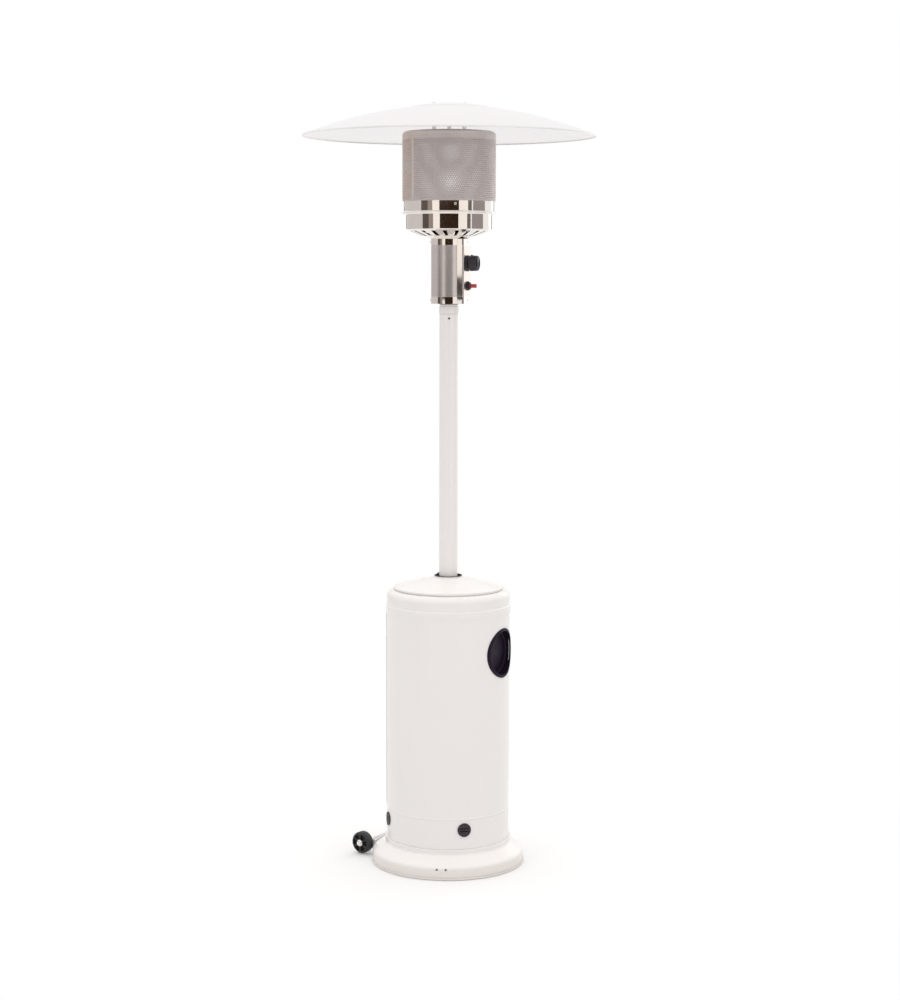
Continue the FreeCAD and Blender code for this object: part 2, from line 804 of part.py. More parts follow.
def coil(radius, wire, length, turns):
    """A hidden spring on the Z axis: square wire wound in straight steps."""
    steps = turns * coil_steps
    half = wire / 2.0
    rings = []
    for i in range(steps + 1):
        angle = 2.0 * math.pi * i / coil_steps
        z = (length - wire) * i / steps + half
        rings.append([point((radius + r) * math.cos(angle), (radius + r) * math.sin(angle), z + dz)
                      for r, dz in ((-half, -half), (half, -half), (half, half), (-half, half))])
    faces = [Part.Face(Part.makePolygon(end + end[:1])) for end in (rings[0], rings[-1])]
    for low, high in zip(rings, rings[1:]):
        for i in range(4):
            j = (i + 1) % 4
            faces.append(Part.Face(Part.makePolygon([low[i], low[j], high[j], low[i]])))
            faces.append(Part.Face(Part.makePolygon([low[i], high[j], high[i], low[i]])))
    solid = Part.Solid(Part.Shell(faces))
    if solid.Volume < 0.0:
        solid.reverse()
    return solid


def valve_spring():
    start = spring_seat_x()
    end = panel_reach + knob_bezel - thrust_ring
    radius = (thrust_ring_radius + stem_radius) / 2
    spring = coil(radius, spring_wire, end - start, spring_turns)
    return turned(laid_out(spring, start, knob_z), panel_azimuth)


def thrust_ring_piece():
    """The ring that the spring pushes and the knob presses in; it doesn't turn."""
    front = panel_reach + knob_bezel
    ring = rod(thrust_ring_radius, front - thrust_ring, front, knob_z)
    return turned(ring.cut(rod(stem_radius + running_gap, 0, front + cut_spare, knob_z)), panel_azimuth)


def knob_back():
    return panel_reach + knob_bezel + knob_push + push_spare


def valve_stem():
    """The turning stem, with a flat where the knob grips it and a collar in front of the ring."""
    tip = knob_back() + knob_hub_depth
    stem = rod(stem_radius, valve_back + stem_inset + knob_push + push_spare, tip, knob_z)
    front = panel_reach + knob_bezel
    collar = rod(stem_collar_radius, front, front + stem_collar, knob_z)
    flat = block(knob_back(), tip, -stem_radius, stem_radius, knob_z + stem_flat, knob_z + stem_radius)
    return turned(joined(stem, collar).cut(flat), panel_azimuth)


def knob_bezel_piece():
    """The black ring plate behind the knob."""
    front = panel_reach + knob_bezel
    plate = rod(knob_bezel_radius, panel_reach, front, knob_z)
    hole = rod(valve_boss_radius + fit_gap, panel_reach - cut_spare, front + cut_spare, knob_z)
    return turned(plate.cut(hole), panel_azimuth)


def control_knob():
    """The gas knob: a round shell with a grip bar across its hollow front, a hub and a raised pointer."""
    floor = knob_length - knob_pocket_depth
    reach = knob_length + cut_spare
    inner = knob_front_radius - knob_wall
    body = spun([(0, 0), (knob_base_radius, 0), (knob_front_radius, knob_length - knob_bevel),
                 (knob_front_radius - knob_bevel, knob_length), (0, knob_length)])
    bar = block(-inner, inner, -knob_bar_width / 2, knob_bar_width / 2, floor, reach)
    pocket = upright(inner, floor, reach).cut(bar)
    hollow = tube(inner, knob_hub_radius, -cut_spare, knob_hollow_depth)
    pointer = block(-knob_base_radius - pointer_proud, -inner, -pointer_width / 2, pointer_width / 2, 0,
                    pointer_length)
    hub_hole = upright(stem_radius, -cut_spare, knob_hub_depth)
    hub_hole = hub_hole.cut(block(-stem_radius, -stem_flat, -stem_radius, stem_radius, -cut_spare,
                                  knob_hub_depth))
    knob = joined(body, pointer).cut([pocket, hollow, hub_hole])
    return turned(laid_out(knob, knob_back(), knob_z), panel_azimuth)


def igniter_nut_piece():
    """The plastic ring nut that clamps the igniter in the panel."""
    nut = hexagon(igniter_nut_width, 0, igniter_hex)
    front = upright(igniter_thread_radius + igniter_lip, 0, igniter_nut)
    thread = upright(igniter_thread_radius + fit_gap, -cut_spare, igniter_nut - igniter_cover)
    window = upright(button_radius + button_gap, -cut_spare, igniter_nut + cut_spare)
    ring = joined(nut, front).cut([thread, window])
    return turned(laid_out(ring, panel_reach, igniter_z), panel_azimuth)


def igniter_body():
    """The spark generator's body behind the panel, with its threaded nose through it."""
    back = panel_reach - head_sheet
    tail = back - igniter_body_length
    nose = rod(igniter_thread_radius, back, panel_reach + igniter_nut - igniter_cover - fit_gap, igniter_z)
    barrel = rod(igniter_body_radius, tail, back, igniter_z)
    terminal = rod(terminal_radius, tail - terminal_length, tail, igniter_z)
    bore_start = button_back() - button_push - push_spare
    bore = rod(button_radius + running_gap, bore_start, panel_reach + igniter_nut, igniter_z)
    spring_bore = rod(button_radius - spring_ledge, bore_start - spring_pocket, bore_start, igniter_z)
    return turned(joined(nose, barrel, terminal).cut([bore, spring_bore]), panel_azimuth)


def button_back():
    """Where the button's inner end lies at rest."""
    return panel_reach + igniter_nut - 2 * button_push


def igniter_button():
    length = panel_reach + button_reach - button_back()
    button = spun([(0, 0), (button_radius, 0), (button_radius, length - button_bevel),
                   (button_radius - button_bevel, length), (0, length)])
    return turned(laid_out(button, button_back(), igniter_z), panel_azimuth)


def igniter_spring():
    start = button_back() - button_push - push_spare - spring_pocket
    radius = button_radius - spring_ledge - spring_wire
    spring = coil(radius, spring_wire, button_back() - start, spring_turns)
    return turned(laid_out(spring, start, igniter_z), panel_azimuth)


def tilt_switch():
    """The gas cut-off switch, a can standing on the neck's flange."""
    return turned(upright(switch_radius, neck_top, neck_top + switch_height, -switch_offset), panel_azimuth)


def gas_inlet():
    """The brass fitting on the neck's flange, with the barb for the hose inside the pole."""
    root = inlet_root_radius
    tip = pole_top - inlet_barbs * inlet_barb_pitch
    outline = [(0, tip)]
    for i in range(inlet_barbs):
        low = tip + i * inlet_barb_pitch
        high = low + inlet_barb_length
        outline += [(root, low), (root + inlet_barb_proud, high), (root, high)]
    outline += [(root, pole_top), (inlet_thread_radius, pole_top), (inlet_thread_radius, neck_top),
                (0, neck_top)]
    hex_part = hexagon(inlet_hex, neck_top, neck_top + inlet_hex_height)
    way = upright(inlet_bore_radius, tip - cut_spare, neck_top + inlet_hex_height + cut_spare)
    return joined(hex_part, spun(outline)).cut(way)


def feed_pipe():
    """From the inlet fitting up to the valve."""
    high = knob_z - valve_height / 2
    return tube(pipe_radius, pipe_radius - pipe_wall, neck_top + inlet_hex_height, high)


def burner_pipe():
    """From the valve up through the head's top cap to the jet."""
    return tube(pipe_radius, pipe_radius - pipe_wall, knob_z + valve_height / 2, head_top + bowl_sheet)


# Burner and emitter

def burner_bowl():
    """The bowl: flat floor, slotted cone and tall polished wall."""
    hole = pipe_radius + fit_gap
    slope = math.hypot(bowl_cone_height, bowl_radius - bowl_floor_radius)
    inner_cone = bowl_sheet * bowl_cone_height / slope
    wall = bowl_radius - bowl_sheet
    bowl = spun([(hole, head_top), (bowl_floor_radius, head_top), (bowl_radius, cone_top),
                 (bowl_radius, bowl_top), (wall, bowl_top), (wall, cone_top + bowl_sheet - inner_cone),
                 (bowl_floor_radius - inner_cone, head_top + bowl_sheet), (hole, head_top + bowl_sheet)])
    slot = block(slot_inner, slot_outer, -slot_width / 2, slot_width / 2, head_top, cone_top + bowl_sheet)
    pilot_hole = upright(pilot_pipe_radius + fit_gap, head_top - cut_spare,
                         head_top + bowl_sheet + cut_spare, pilot_port_reach)
    return bowl.cut(ring_of(slot, bowl_slots, first_slot_azimuth) + [turned(pilot_hole, panel_azimuth)])


def burner_plate():
    """The tray with the bright rim: it closes the bowl and carries burner, pilot and band."""
    outline = [(0, bowl_top), (plate_radius, bowl_top), (plate_radius, bowl_top + plate_rim_height)]
    plate = spun_sheet(outline, [plate_rounding], plate_sheet)
    low = bowl_top - cut_spare
    high = plate_floor + cut_spare
    holes = [upright(venturi_radius + fit_gap, low, high)]
    holes += [turned(upright(radius + fit_gap, low, high, pilot_reach, y), panel_azimuth)
              for y, radius in ((0.0, pilot_pipe_radius), (pilot_spacing, probe_radius),
                                (-pilot_spacing, probe_radius))]
    return plate.cut(holes)


def upper_band():
    """The polished band standing in the tray, with an inward flange for the screen."""
    outline = [(band_radius, plate_floor), (band_radius, band_top),
               (band_radius - band_seat, band_top)]
    return spun_sheet(outline, [0.0], band_sheet)


def emitter_screen():
    """The rolled screen on an inward foot flange, with the overlap seam down its side."""
    foot = band_radius - band_seat
    outline = [(foot, band_top), (screen_radius, band_top),
               (screen_radius, screen_top + emitter_cap_overlap)]
    screen = spun_sheet(outline, [0.0], screen_sheet)
    seam = tube(screen_radius + screen_sheet, screen_radius - screen_sheet / 2, band_top,
                screen_top - screen_seam_gap)
    seam = seam.common(block(0, screen_radius * 2, -screen_seam_width / 2, screen_seam_width / 2,
                             band_top, screen_top))
    return joined(screen, turned(seam, screen_seam_azimuth))


def emitter_cap():
    """The pressed cap over the screen's top."""
    radius = screen_radius + fit_gap + screen_sheet
    outline = [(radius, screen_top), (radius, emitter_top), (0, emitter_top)]
    cap = spun_sheet(outline, [emitter_cap_rounding], screen_sheet)
    drill = upright(stud_thread_radius + fit_gap, emitter_top - screen_sheet - cut_spare,
                    emitter_top + cut_spare, stud_circle)
    return cap.cut(ring_of(drill, stud_count, first_stud_azimuth))


def venturi_tube():
    """The mixing tube with a flared mouth, welded to a flange on the burner plate."""
    mouth = bowl_top - venturi_gap
    top = plate_floor + cup_floor_rise
    outline = [(venturi_mouth_radius, mouth), (venturi_radius, mouth + venturi_flare),
               (venturi_radius, top)]
    pipe = spun_sheet(outline, [0.0], venturi_wall)
    flange = tube(venturi_radius + venturi_flange, venturi_radius - venturi_wall, plate_floor,
                  plate_floor + venturi_flange_sheet)
    return joined(pipe, flange)


def burner_cup():
    """The ported box in which the flame burns, open to the venturi tube below."""
    low = plate_floor + cup_floor_rise
    high = low + cup_height
    outline = [(venturi_radius - venturi_wall, low), (cup_radius, low), (cup_radius, high), (0, high)]
    cup = spun_sheet(outline, [0.0, 0.0], cup_sheet)
    sill = low + port_sill
    port = block(cup_radius - cup_sheet - cut_spare, cup_radius + cut_spare, -port_width / 2,
                 port_width / 2, sill, sill + port_height)
    return cup.cut(ring_of(port, cup_ports, 0.0))


def gas_jet():
    """The brass jet: a flange on the bowl floor, a hexagon and a coned tip."""
    seat = head_top + bowl_sheet
    hex_low = seat + jet_flange
    hex_high = hex_low + jet_hex_height
    end = seat + jet_length
    flange = upright(jet_flange_radius, seat, hex_low)
    hex_part = hexagon(jet_hex, hex_low, hex_high)
    tip = Part.makeCone(jet_root_radius, jet_tip_radius, end - hex_high, point(0, 0, hex_high), UP)
    return joined(flange, hex_part, tip).cut(upright(jet_bore_radius, seat - cut_spare, end + cut_spare))


def pilot_bracket():
    """The small plate that holds pilot, thermocouple and electrode."""
    half_length = pilot_spacing + pilot_plate_margin
    top = plate_floor + pilot_plate
    plate = block(pilot_reach - pilot_plate_half, pilot_reach + pilot_plate_half, -half_length, half_length,
                  plate_floor, top)
    holes = [upright(pilot_pipe_radius + fit_gap, plate_floor - cut_spare, top + cut_spare, pilot_reach, y)
             for y in (-pilot_spacing, 0.0, pilot_spacing)]
    return turned(plate.cut(holes), panel_azimuth)


def pilot_burner():
    """The small tube whose flame lights the burner, on a wider foot."""
    low = plate_floor + pilot_plate
    foot = upright(pilot_radius + pilot_foot_proud, low, low + pilot_foot_height, pilot_reach)
    body = upright(pilot_radius, low, low + pilot_height, pilot_reach)
    return turned(joined(foot, body), panel_azimuth)


def pilot_pipe():
    """Thin pipe from the valve through the bowl floor and out to the pilot burner."""
    places = [point(pilot_port_reach, 0, knob_z + valve_height / 2),
              point(pilot_port_reach, 0, head_top + pilot_pipe_rise),
              point(pilot_reach, 0, cone_top + pilot_pipe_rise),
              point(pilot_reach, 0, plate_floor + pilot_plate)]
    section = Part.Wire(Part.makeCircle(pilot_pipe_radius, places[0], UP))
    pipe = Part.Wire(Part.makePolygon(places)).makePipeShell([section], True, False, 1)
    return turned(pipe, panel_azimuth)


def probe(y, tip_radius):
    """A thermocouple or an electrode: a stepped pin through the pilot bracket."""
    seat = plate_floor + pilot_plate
    stem = upright(probe_radius, bowl_top - probe_tail, seat, pilot_reach, y)
    step = seat + probe_shoulder_height
    shoulder = upright(probe_radius + probe_shoulder_proud, seat, step, pilot_reach, y)
    tip = upright(tip_radius, step, seat + probe_height, pilot_reach, y)
    return turned(joined(stem, shoulder, tip), panel_azimuth)


# Reflector

def reflector():
    """The spun dome: raised flat crown, small step, long curve to the edge and a turned-down rim."""
    crown_low = reflector_top - crown_drop
    start = point(crown_radius + crown_step, 0, crown_low - crown_step)
    middle = point(dome_mid_radius, 0, reflector_top - dome_mid_drop)
    end = point(dome_edge_radius, 0, reflector_top - dome_edge_drop)
    curve = Part.Arc(start, middle, end).toShape().discretize(dome_flats + 1)
    outline = [(reflector_radius, reflector_rim), (reflector_radius, end.z - rim_drop)]
    outline += [(p.x, p.z) for p in reversed(curve)]
    outline += [(crown_radius, crown_low), (crown_flat_radius, reflector_top), (0, reflector_top)]
    dome = spun_sheet(outline, [0.0] * (len(outline) - 2), reflector_sheet)
    drill = upright(stud_thread_radius + fit_gap, reflector_top - reflector_sheet - cut_spare,
                    reflector_top + cut_spare, stud_circle)
    return dome.cut(ring_of(drill, stud_count, first_stud_azimuth))


def reflector_studs():
    """Stand-off pillars with a thread at both ends; the lower one is screwed into the cap."""
    pillar = upright(stud_radius, emitter_top, reflector_top - reflector_sheet)
    thread = upright(stud_thread_radius, emitter_top - stud_nut_height, reflector_top + stud_nut_height)
    stud = joined(pillar, thread)
    stud.translate(point(stud_circle, 0, 0))
    return Part.makeCompound(ring_of(stud, stud_count, first_stud_azimuth))


def stud_nuts():
    """The nuts on top of the reflector."""
    nut = hexagon(stud_nut_width, reflector_top, reflector_top + stud_nut_height)
    nut = nut.cut(upright(stud_thread_radius, reflector_top - cut_spare,
                          reflector_top + stud_nut_height + cut_spare))
    nut.translate(point(stud_circle, 0, 0))
    return Part.makeCompound(ring_of(nut, stud_count, first_stud_azimuth))


def all_pieces():
    """Every piece by the name of its node."""
    pieces = {
        "base_pan": base_pan(),
        "edge_trim": edge_trim(),
        "wheel_bracket": wheel_bracket(),
        "axle": axle(),
        "wheel_left": wheel(1),
        "wheel_right": wheel(-1),
        "hub_caps": hub_caps(),
        "post_bolts": post_bolts(),
        "pole_bracket": pole_bracket(),
        "pole": pole(),
        "pole_bolts": pole_bolts(),
        "neck": neck(),
        "housing_shell": housing_shell(),
        "housing_lid": housing_lid(),
        "control_body": control_body(),
        "bottom_cap": head_cap(head_bottom, bottom_cap_height, True, neck_tube_radius + fit_gap),
        "top_cap": head_cap(head_top - top_cap_height, top_cap_height, False, pipe_radius + fit_gap),
        "gas_valve": gas_valve(),
        "valve_spring": valve_spring(),
        "thrust_ring": thrust_ring_piece(),
        "valve_stem": valve_stem(),
        "knob_bezel": knob_bezel_piece(),
        "control_knob": control_knob(),
        "igniter_nut": igniter_nut_piece(),
        "igniter_body": igniter_body(),
        "igniter_spring": igniter_spring(),
        "igniter_button": igniter_button(),
        "tilt_switch": tilt_switch(),
        "gas_inlet": gas_inlet(),
        "feed_pipe": feed_pipe(),
        "burner_pipe": burner_pipe(),
        "burner_bowl": burner_bowl(),
        "burner_plate": burner_plate(),
        "upper_band": upper_band(),
        "emitter_screen": emitter_screen(),
        "emitter_cap": emitter_cap(),
        "venturi_tube": venturi_tube(),
        "burner_cup": burner_cup(),
        "gas_jet": gas_jet(),
        "pilot_bracket": pilot_bracket(),
        "pilot_burner": pilot_burner(),
        "pilot_pipe": pilot_pipe(),
        "thermocouple": probe(pilot_spacing, thermocouple_radius),
        "electrode": probe(-pilot_spacing, electrode_radius),
        "reflector": reflector(),
        "reflector_studs": reflector_studs(),
        "stud_nuts": stud_nuts(),
    }
    for i in range(post_count):
        azimuth = first_post_azimuth + i * 360.0 / post_count
        pieces["support_post_" + str(i + 1)] = support_post(azimuth)
    pieces["hand_grip_right"] = hand_grip(right_grip_azimuth)
    pieces["hand_grip_left"] = hand_grip(left_grip_azimuth)
    pieces["vent_plugs"] = Part.makeCompound(ring_of(vent_plug(), vent_count, vent_first_azimuth))
    return pieces


os.makedirs("parts", exist_ok=True)
for name, shape in all_pieces().items():
    shape.exportStep("parts/" + name + ".step")
    print(name, "solids", len(shape.Solids), "valid", shape.isValid(), "volume", round(shape.Volume))
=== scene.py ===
"""Patio heater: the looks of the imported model, laid out as a Blender add-on.

Metres. The heater stands on the origin, +Z is up and its front faces -Y. An azimuth is in degrees about
the pole: 0 is the front and it grows towards +X.
"""

import json
import math

import bmesh
import bpy
from mathutils import Matrix, Vector

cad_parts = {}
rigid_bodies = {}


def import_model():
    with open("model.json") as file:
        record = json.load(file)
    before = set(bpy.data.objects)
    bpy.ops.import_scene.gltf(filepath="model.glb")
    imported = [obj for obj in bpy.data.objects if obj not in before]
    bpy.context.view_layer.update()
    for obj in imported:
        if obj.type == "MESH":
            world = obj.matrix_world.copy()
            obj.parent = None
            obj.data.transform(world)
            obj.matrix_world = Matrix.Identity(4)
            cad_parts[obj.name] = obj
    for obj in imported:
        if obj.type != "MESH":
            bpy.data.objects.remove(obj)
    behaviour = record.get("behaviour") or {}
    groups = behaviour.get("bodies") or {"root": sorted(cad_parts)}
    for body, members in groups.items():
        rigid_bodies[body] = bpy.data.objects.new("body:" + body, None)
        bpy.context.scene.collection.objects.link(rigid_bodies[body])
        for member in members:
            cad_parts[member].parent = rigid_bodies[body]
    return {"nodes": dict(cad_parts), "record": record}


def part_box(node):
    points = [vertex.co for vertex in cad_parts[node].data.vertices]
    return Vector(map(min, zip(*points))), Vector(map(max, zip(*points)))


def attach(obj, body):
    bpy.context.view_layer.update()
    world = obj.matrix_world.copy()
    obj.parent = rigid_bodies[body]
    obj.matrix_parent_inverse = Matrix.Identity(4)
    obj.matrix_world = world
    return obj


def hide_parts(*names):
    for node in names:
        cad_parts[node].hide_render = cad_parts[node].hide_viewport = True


bl_info = {
    "name": "Patio heater",
    "version": (1, 0, 0),
    "blender": (4, 5, 0),
    "location": "3D View > Sidebar > Heater",
    "description": "Builds the finished sheet metal, screws, paint and studio of a gas patio heater",
    "category": "Add Mesh",
}

for leftover in list(bpy.data.objects):
    bpy.data.objects.remove(leftover)

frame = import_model()

TURN = 2.0 * math.pi

# Places that the frame's boxes don't tell
PANEL_AZIMUTH = 72.0
KNOB_HEIGHT = 1.7576
BUTTON_HEIGHT = 1.6930
GRIP_AZIMUTHS = {"right": 62.0, "left": -128.0}
GRIP_HEIGHT = 0.637
VENT_COUNT = 4
VENT_AZIMUTH = 15.3
VENT_HEIGHT = 0.136
PAIR_COUNT = 3
PAIR_AZIMUTH = -4.7
PAIR_HEIGHT = 0.032
PAIR_HALF_SPACING = 0.013
WHEEL_AZIMUTH = -124.7
AXLE_REACH = 0.243
AXLE_HEIGHT = 0.035
WHEEL_FACE = 0.1105  # from the middle of the axle to a wheel's outer face
BAND_RADIUS = 0.1295
BAND_LIP = 0.1215
SCREEN_RADIUS = 0.1330

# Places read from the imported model
BASE_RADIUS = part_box("edge_trim")[1].x
PAN_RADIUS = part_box("base_pan")[1].x
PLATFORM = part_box("base_pan")[1].z
HOUSING_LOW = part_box("housing_shell")[0].z
HOUSING_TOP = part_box("housing_shell")[1].z
LID_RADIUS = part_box("housing_lid")[1].x
LID_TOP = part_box("housing_lid")[1].z
POLE_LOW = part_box("pole")[0].z
POLE_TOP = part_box("pole")[1].z
HEAD_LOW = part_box("bottom_cap")[0].z
HEAD_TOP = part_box("top_cap")[1].z
BOWL_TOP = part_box("burner_bowl")[1].z
PLATE_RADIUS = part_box("burner_plate")[1].x
PLATE_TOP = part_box("burner_plate")[1].z
BAND_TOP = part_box("upper_band")[1].z
SCREEN_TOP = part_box("emitter_screen")[1].z
EMITTER_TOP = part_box("emitter_cap")[1].z
REFLECTOR_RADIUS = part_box("reflector")[1].x
REFLECTOR_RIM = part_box("reflector")[0].z
REFLECTOR_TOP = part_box("reflector")[1].z


def length(name, description, default):
    """A size in metres that a user can change."""
    return bpy.props.FloatProperty(name=name, description=description, default=default, min=0.0001,
                                   subtype="DISTANCE", unit="LENGTH")


def colour(name, description, default):
    """A colour that a user can change."""
    return bpy.props.FloatVectorProperty(name=name, description=description, default=default, size=3,
                                         min=0.0, max=1.0, subtype="COLOR")


class HeaterSizes(bpy.types.PropertyGroup):
    """Sizes of the sheet metal and the small parts."""
    housing_radius: length("Housing radius", "Outer radius of the sleeve over the gas bottle", 0.180)
    housing_sheet: length("Housing sheet", "Thickness of the sleeve and the lid", 0.001)
    pan_sheet: length("Pan sheet", "Thickness of the pressed base", 0.0015)
    grip_radius: length("Grip radius", "Radius of the hand grips' rim", 0.072)
    pole_radius: length("Pole radius", "Outer radius of the pole", 0.027)
    bowl_sheet: length("Bowl sheet", "Thickness of the bowl and the band over it", 0.001)
    hole_pitch: length("Hole pitch", "Distance between the emitter screen's holes", 0.0066)
    hole_bridge: length("Hole bridge", "Steel left between two of the screen's holes", 0.00405)
    screw_radius: length("Screw radius", "Radius of the small screws' heads", 0.0034)
    reflector_sheet: length("Reflector sheet", "Thickness of the spun reflector", 0.0012)


class HeaterColours(bpy.types.PropertyGroup):
    """Colours of the finishes."""
    paint: colour("Paint", "Enamel on base, housing and pole", (0.822, 0.792, 0.778))
    steel: colour("Steel", "Brushed and perforated stainless steel", (0.64, 0.585, 0.57))
    polished: colour("Polish", "Polished stainless steel", (0.84, 0.79, 0.745))
    heat_tint: colour("Heat tint", "Straw brown that heat leaves on the screen", (0.67, 0.52, 0.43))
    aluminium: colour("Aluminium", "The spun reflector", (0.905, 0.89, 0.89))
    moulding: colour("Moulding", "Black plastic of plugs and knob", (0.016, 0.010, 0.018))
    grip: colour("Grip", "Black plastic of the hand grips", (0.010, 0.005, 0.016))
    button: colour("Button", "The igniter's push button", (0.42, 0.035, 0.04))
    floor: colour("Floor", "The studio floor", (0.700, 0.702, 0.706))


# Modelling helpers

def facing(azimuth):
    """Turns what is modelled towards +X to face an azimuth."""
    return Matrix.Rotation(math.radians(azimuth - 90.0), 4, "Z")


def outwards(reach, height, side=0.0):
    """Moves what stands on the XY plane so that it points along +X from that reach and height."""
    return Matrix.Translation((reach, side, height)) @ Matrix.Rotation(math.radians(90.0), 4, "Y")


def outline(corners, closed=False):
    """A wire through (radius, height) corners on the XZ plane; a third number rounds that corner."""
    bm = bmesh.new()
    verts = [bm.verts.new((corner[0], 0.0, corner[1])) for corner in corners]
    for a, b in zip(verts, verts[1:]):
        bm.edges.new((a, b))
    if closed:
        bm.edges.new((verts[-1], verts[0]))
    count = len(corners)
    for i, corner in enumerate(corners):
        if len(corner) < 3 or (not closed and i in (0, count - 1)):
            continue
        here = Vector(corner[:2])
        into = here - Vector(corners[i - 1][:2])
        out = Vector(corners[(i + 1) % count][:2]) - here
        turn = into.angle(out)
        bmesh.ops.bevel(bm, geom=[verts[i]], offset=corner[2] * math.tan(turn / 2.0), offset_type="OFFSET",
                        segments=max(3, round(turn / 0.16)), profile=0.5, affect="VERTICES", material=-1)
    return bm


def sweep(bm, angle, steps, merge=False, copy=False):
    """Spins all of a bmesh about the Z axis, into a skin or into copies of itself."""
    bmesh.ops.spin(bm, geom=bm.verts[:] + bm.edges[:] + bm.faces[:], cent=(0.0, 0.0, 0.0),
                   axis=(0.0, 0.0, 1.0), angle=angle, steps=steps, use_merge=merge, use_duplicate=copy)


def spin(bm, steps):
    """Spins all of a wire about the Z axis and closes it, seam and poles."""
    sweep(bm, TURN, steps, merge=True)
    bmesh.ops.remove_doubles(bm, verts=bm.verts, dist=1e-6)
    bmesh.ops.recalc_face_normals(bm, faces=bm.faces)
    return bm


def turned(corners, steps=96):
    """A turned solid: its outline starts and ends on the axis, or is closed."""
    on_axis = corners[0][0] == 0.0 and corners[-1][0] == 0.0
    return spin(outline(corners, closed=not on_axis), steps)


def spun_sheet(corners, steps=144):
    """A spun sheet by its outer side, still without thickness."""
    return spin(outline(corners), steps)


def moved(bm, place):
    """Moves all of a bmesh."""
    bmesh.ops.transform(bm, matrix=place, verts=bm.verts)
    return bm


def thicken(bm, thickness):
    """Gives a sheet its thickness."""
    bmesh.ops.solidify(bm, geom=bm.faces[:], thickness=thickness)
    return bm


def rounded(bm, edges, width, segments=2, clamp=False):
    """Rounds some edges of a bmesh off."""
    bmesh.ops.bevel(bm, geom=edges, offset=width, offset_type="OFFSET", segments=segments, profile=0.5,
                    affect="EDGES", clamp_overlap=clamp, material=-1)
    return bm


def block(size, centre):
    """A box of that size about that centre."""
    bm = bmesh.new()
    bmesh.ops.create_cube(bm, size=1.0)
    bmesh.ops.scale(bm, vec=size, verts=bm.verts)
    bmesh.ops.translate(bm, vec=centre, verts=bm.verts)
    return bm


def seam_strip(radius, proud, low, high, width, azimuth, rounding=0.0):
    """The strip of an overlap seam, standing proud of a rolled sheet of that radius."""
    strip = outline([(radius + proud, low), (radius + proud, high)])
    spread = width / radius
    sweep(strip, spread, 6)
    bmesh.ops.recalc_face_normals(strip, faces=strip.faces)
    thicken(strip, proud)
    if rounding:
        rounded(strip, [e for e in strip.edges if e.calc_face_angle(0.0) > 0.8], rounding)
    turn = Matrix.Rotation(-spread / 2.0, 4, "Z")
    moved(strip, facing(azimuth) @ turn)
    return strip


def punch(bm, azimuth, height, radius, shell_radius):
    """Opens a round hole through an upright wall that has no thickness yet."""
    centre = facing(azimuth) @ Vector((shell_radius, 0.0, height))
    across = facing(azimuth) @ Vector((0.0, 1.0, 0.0))

    def offset(point):
        """A point's place on the wall, sideways and upwards from the hole's centre."""
        step = point - centre
        return Vector((step.dot(across), step.z))

    def near(reach):
        """The wall's faces within that reach of the hole's centre."""
        return [f for f in bm.faces if (f.calc_center_median() - centre).length < reach]

    patch = near(radius * 2.0 + 0.004)
    while patch and max(e.calc_length() for f in patch for e in f.edges) > radius * 0.6:
        edges = {e for f in patch for e in f.edges if e.calc_length() > radius * 0.3}
        bmesh.ops.subdivide_edges(bm, edges=list(edges), cuts=1, use_grid_fill=True)
        patch = near(radius * 1.6 + 0.002)
    inside = [f for f in near(radius * 1.5) if offset(f.calc_center_median()).length < radius]
    rim = {v for f in inside for v in f.verts}
    bmesh.ops.delete(bm, geom=inside, context="FACES")
    for vert in rim:
        if vert.is_valid and vert.is_boundary:
            step = offset(vert.co)
            moved = step.normalized() * radius
            point = centre + across * moved.x
            point.z = height + moved.y
            flat = Vector((point.x, point.y, 0.0)).normalized() * shell_radius
            vert.co = Vector((flat.x, flat.y, point.z))
    return bm


def added(bm, other):
    """Puts another bmesh's shape into this one."""
    mesh = bpy.data.meshes.new("passing")
    other.to_mesh(mesh)
    other.free()
    bm.from_mesh(mesh)
    bpy.data.meshes.remove(mesh)
    return bm


def copies(bm, places):
    """A shape put at each of several places, as one bmesh."""
    whole = bmesh.new()
    for place in places:
        added(whole, moved(bm.copy(), place))
    bm.free()
    return whole


def merged_copy(node):
    """A CAD node's shape as one joined skin that keeps its sharp corners."""
    bm = bmesh.new()
    bm.from_mesh(frame["nodes"][node].data)
    bmesh.ops.remove_doubles(bm, verts=bm.verts, dist=1e-6)
    return bm


def whole_faces(node):
    """A CAD node's shape with the triangles of each flat face made one."""
    bm = merged_copy(node)
    bmesh.ops.dissolve_limit(bm, angle_limit=math.radians(1.0), verts=bm.verts[:], edges=bm.edges[:])
    return bm


def softened(node, width, sharp=32.0):
    """A CAD node's shape with its corners rounded off."""
    bm = whole_faces(node)
    corners = [e for e in bm.edges if e.is_manifold and e.calc_face_angle() > math.radians(sharp)]
    return rounded(bm, corners, width, clamp=True)


def as_object(name, bm):
    """Puts a bmesh into the scene as an object at the origin."""
    mesh = bpy.data.meshes.new(name)
    bm.to_mesh(mesh)
    bm.free()
    made = bpy.data.objects.new(name, mesh)
    bpy.context.scene.collection.objects.link(made)
    return made


def finished(name, bm, body, finish, stands_for=(), sharp=32.0):
    """Makes a piece of a bmesh: smooth skin, crisp corners, its finish and the body it rides on."""
    for face in bm.faces:
        face.smooth = True
    for edge in bm.edges:
        edge.smooth = not edge.is_manifold or edge.calc_face_angle() < math.radians(sharp)
    piece = as_object(name, bm)
    piece.data.materials.append(finish_of(finish))
    weighted = piece.modifiers.new("Even shading", "WEIGHTED_NORMAL")
    weighted.keep_sharp = True
    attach(piece, body)
    if stands_for:
        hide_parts(*stands_for)
    return piece


# Finishes

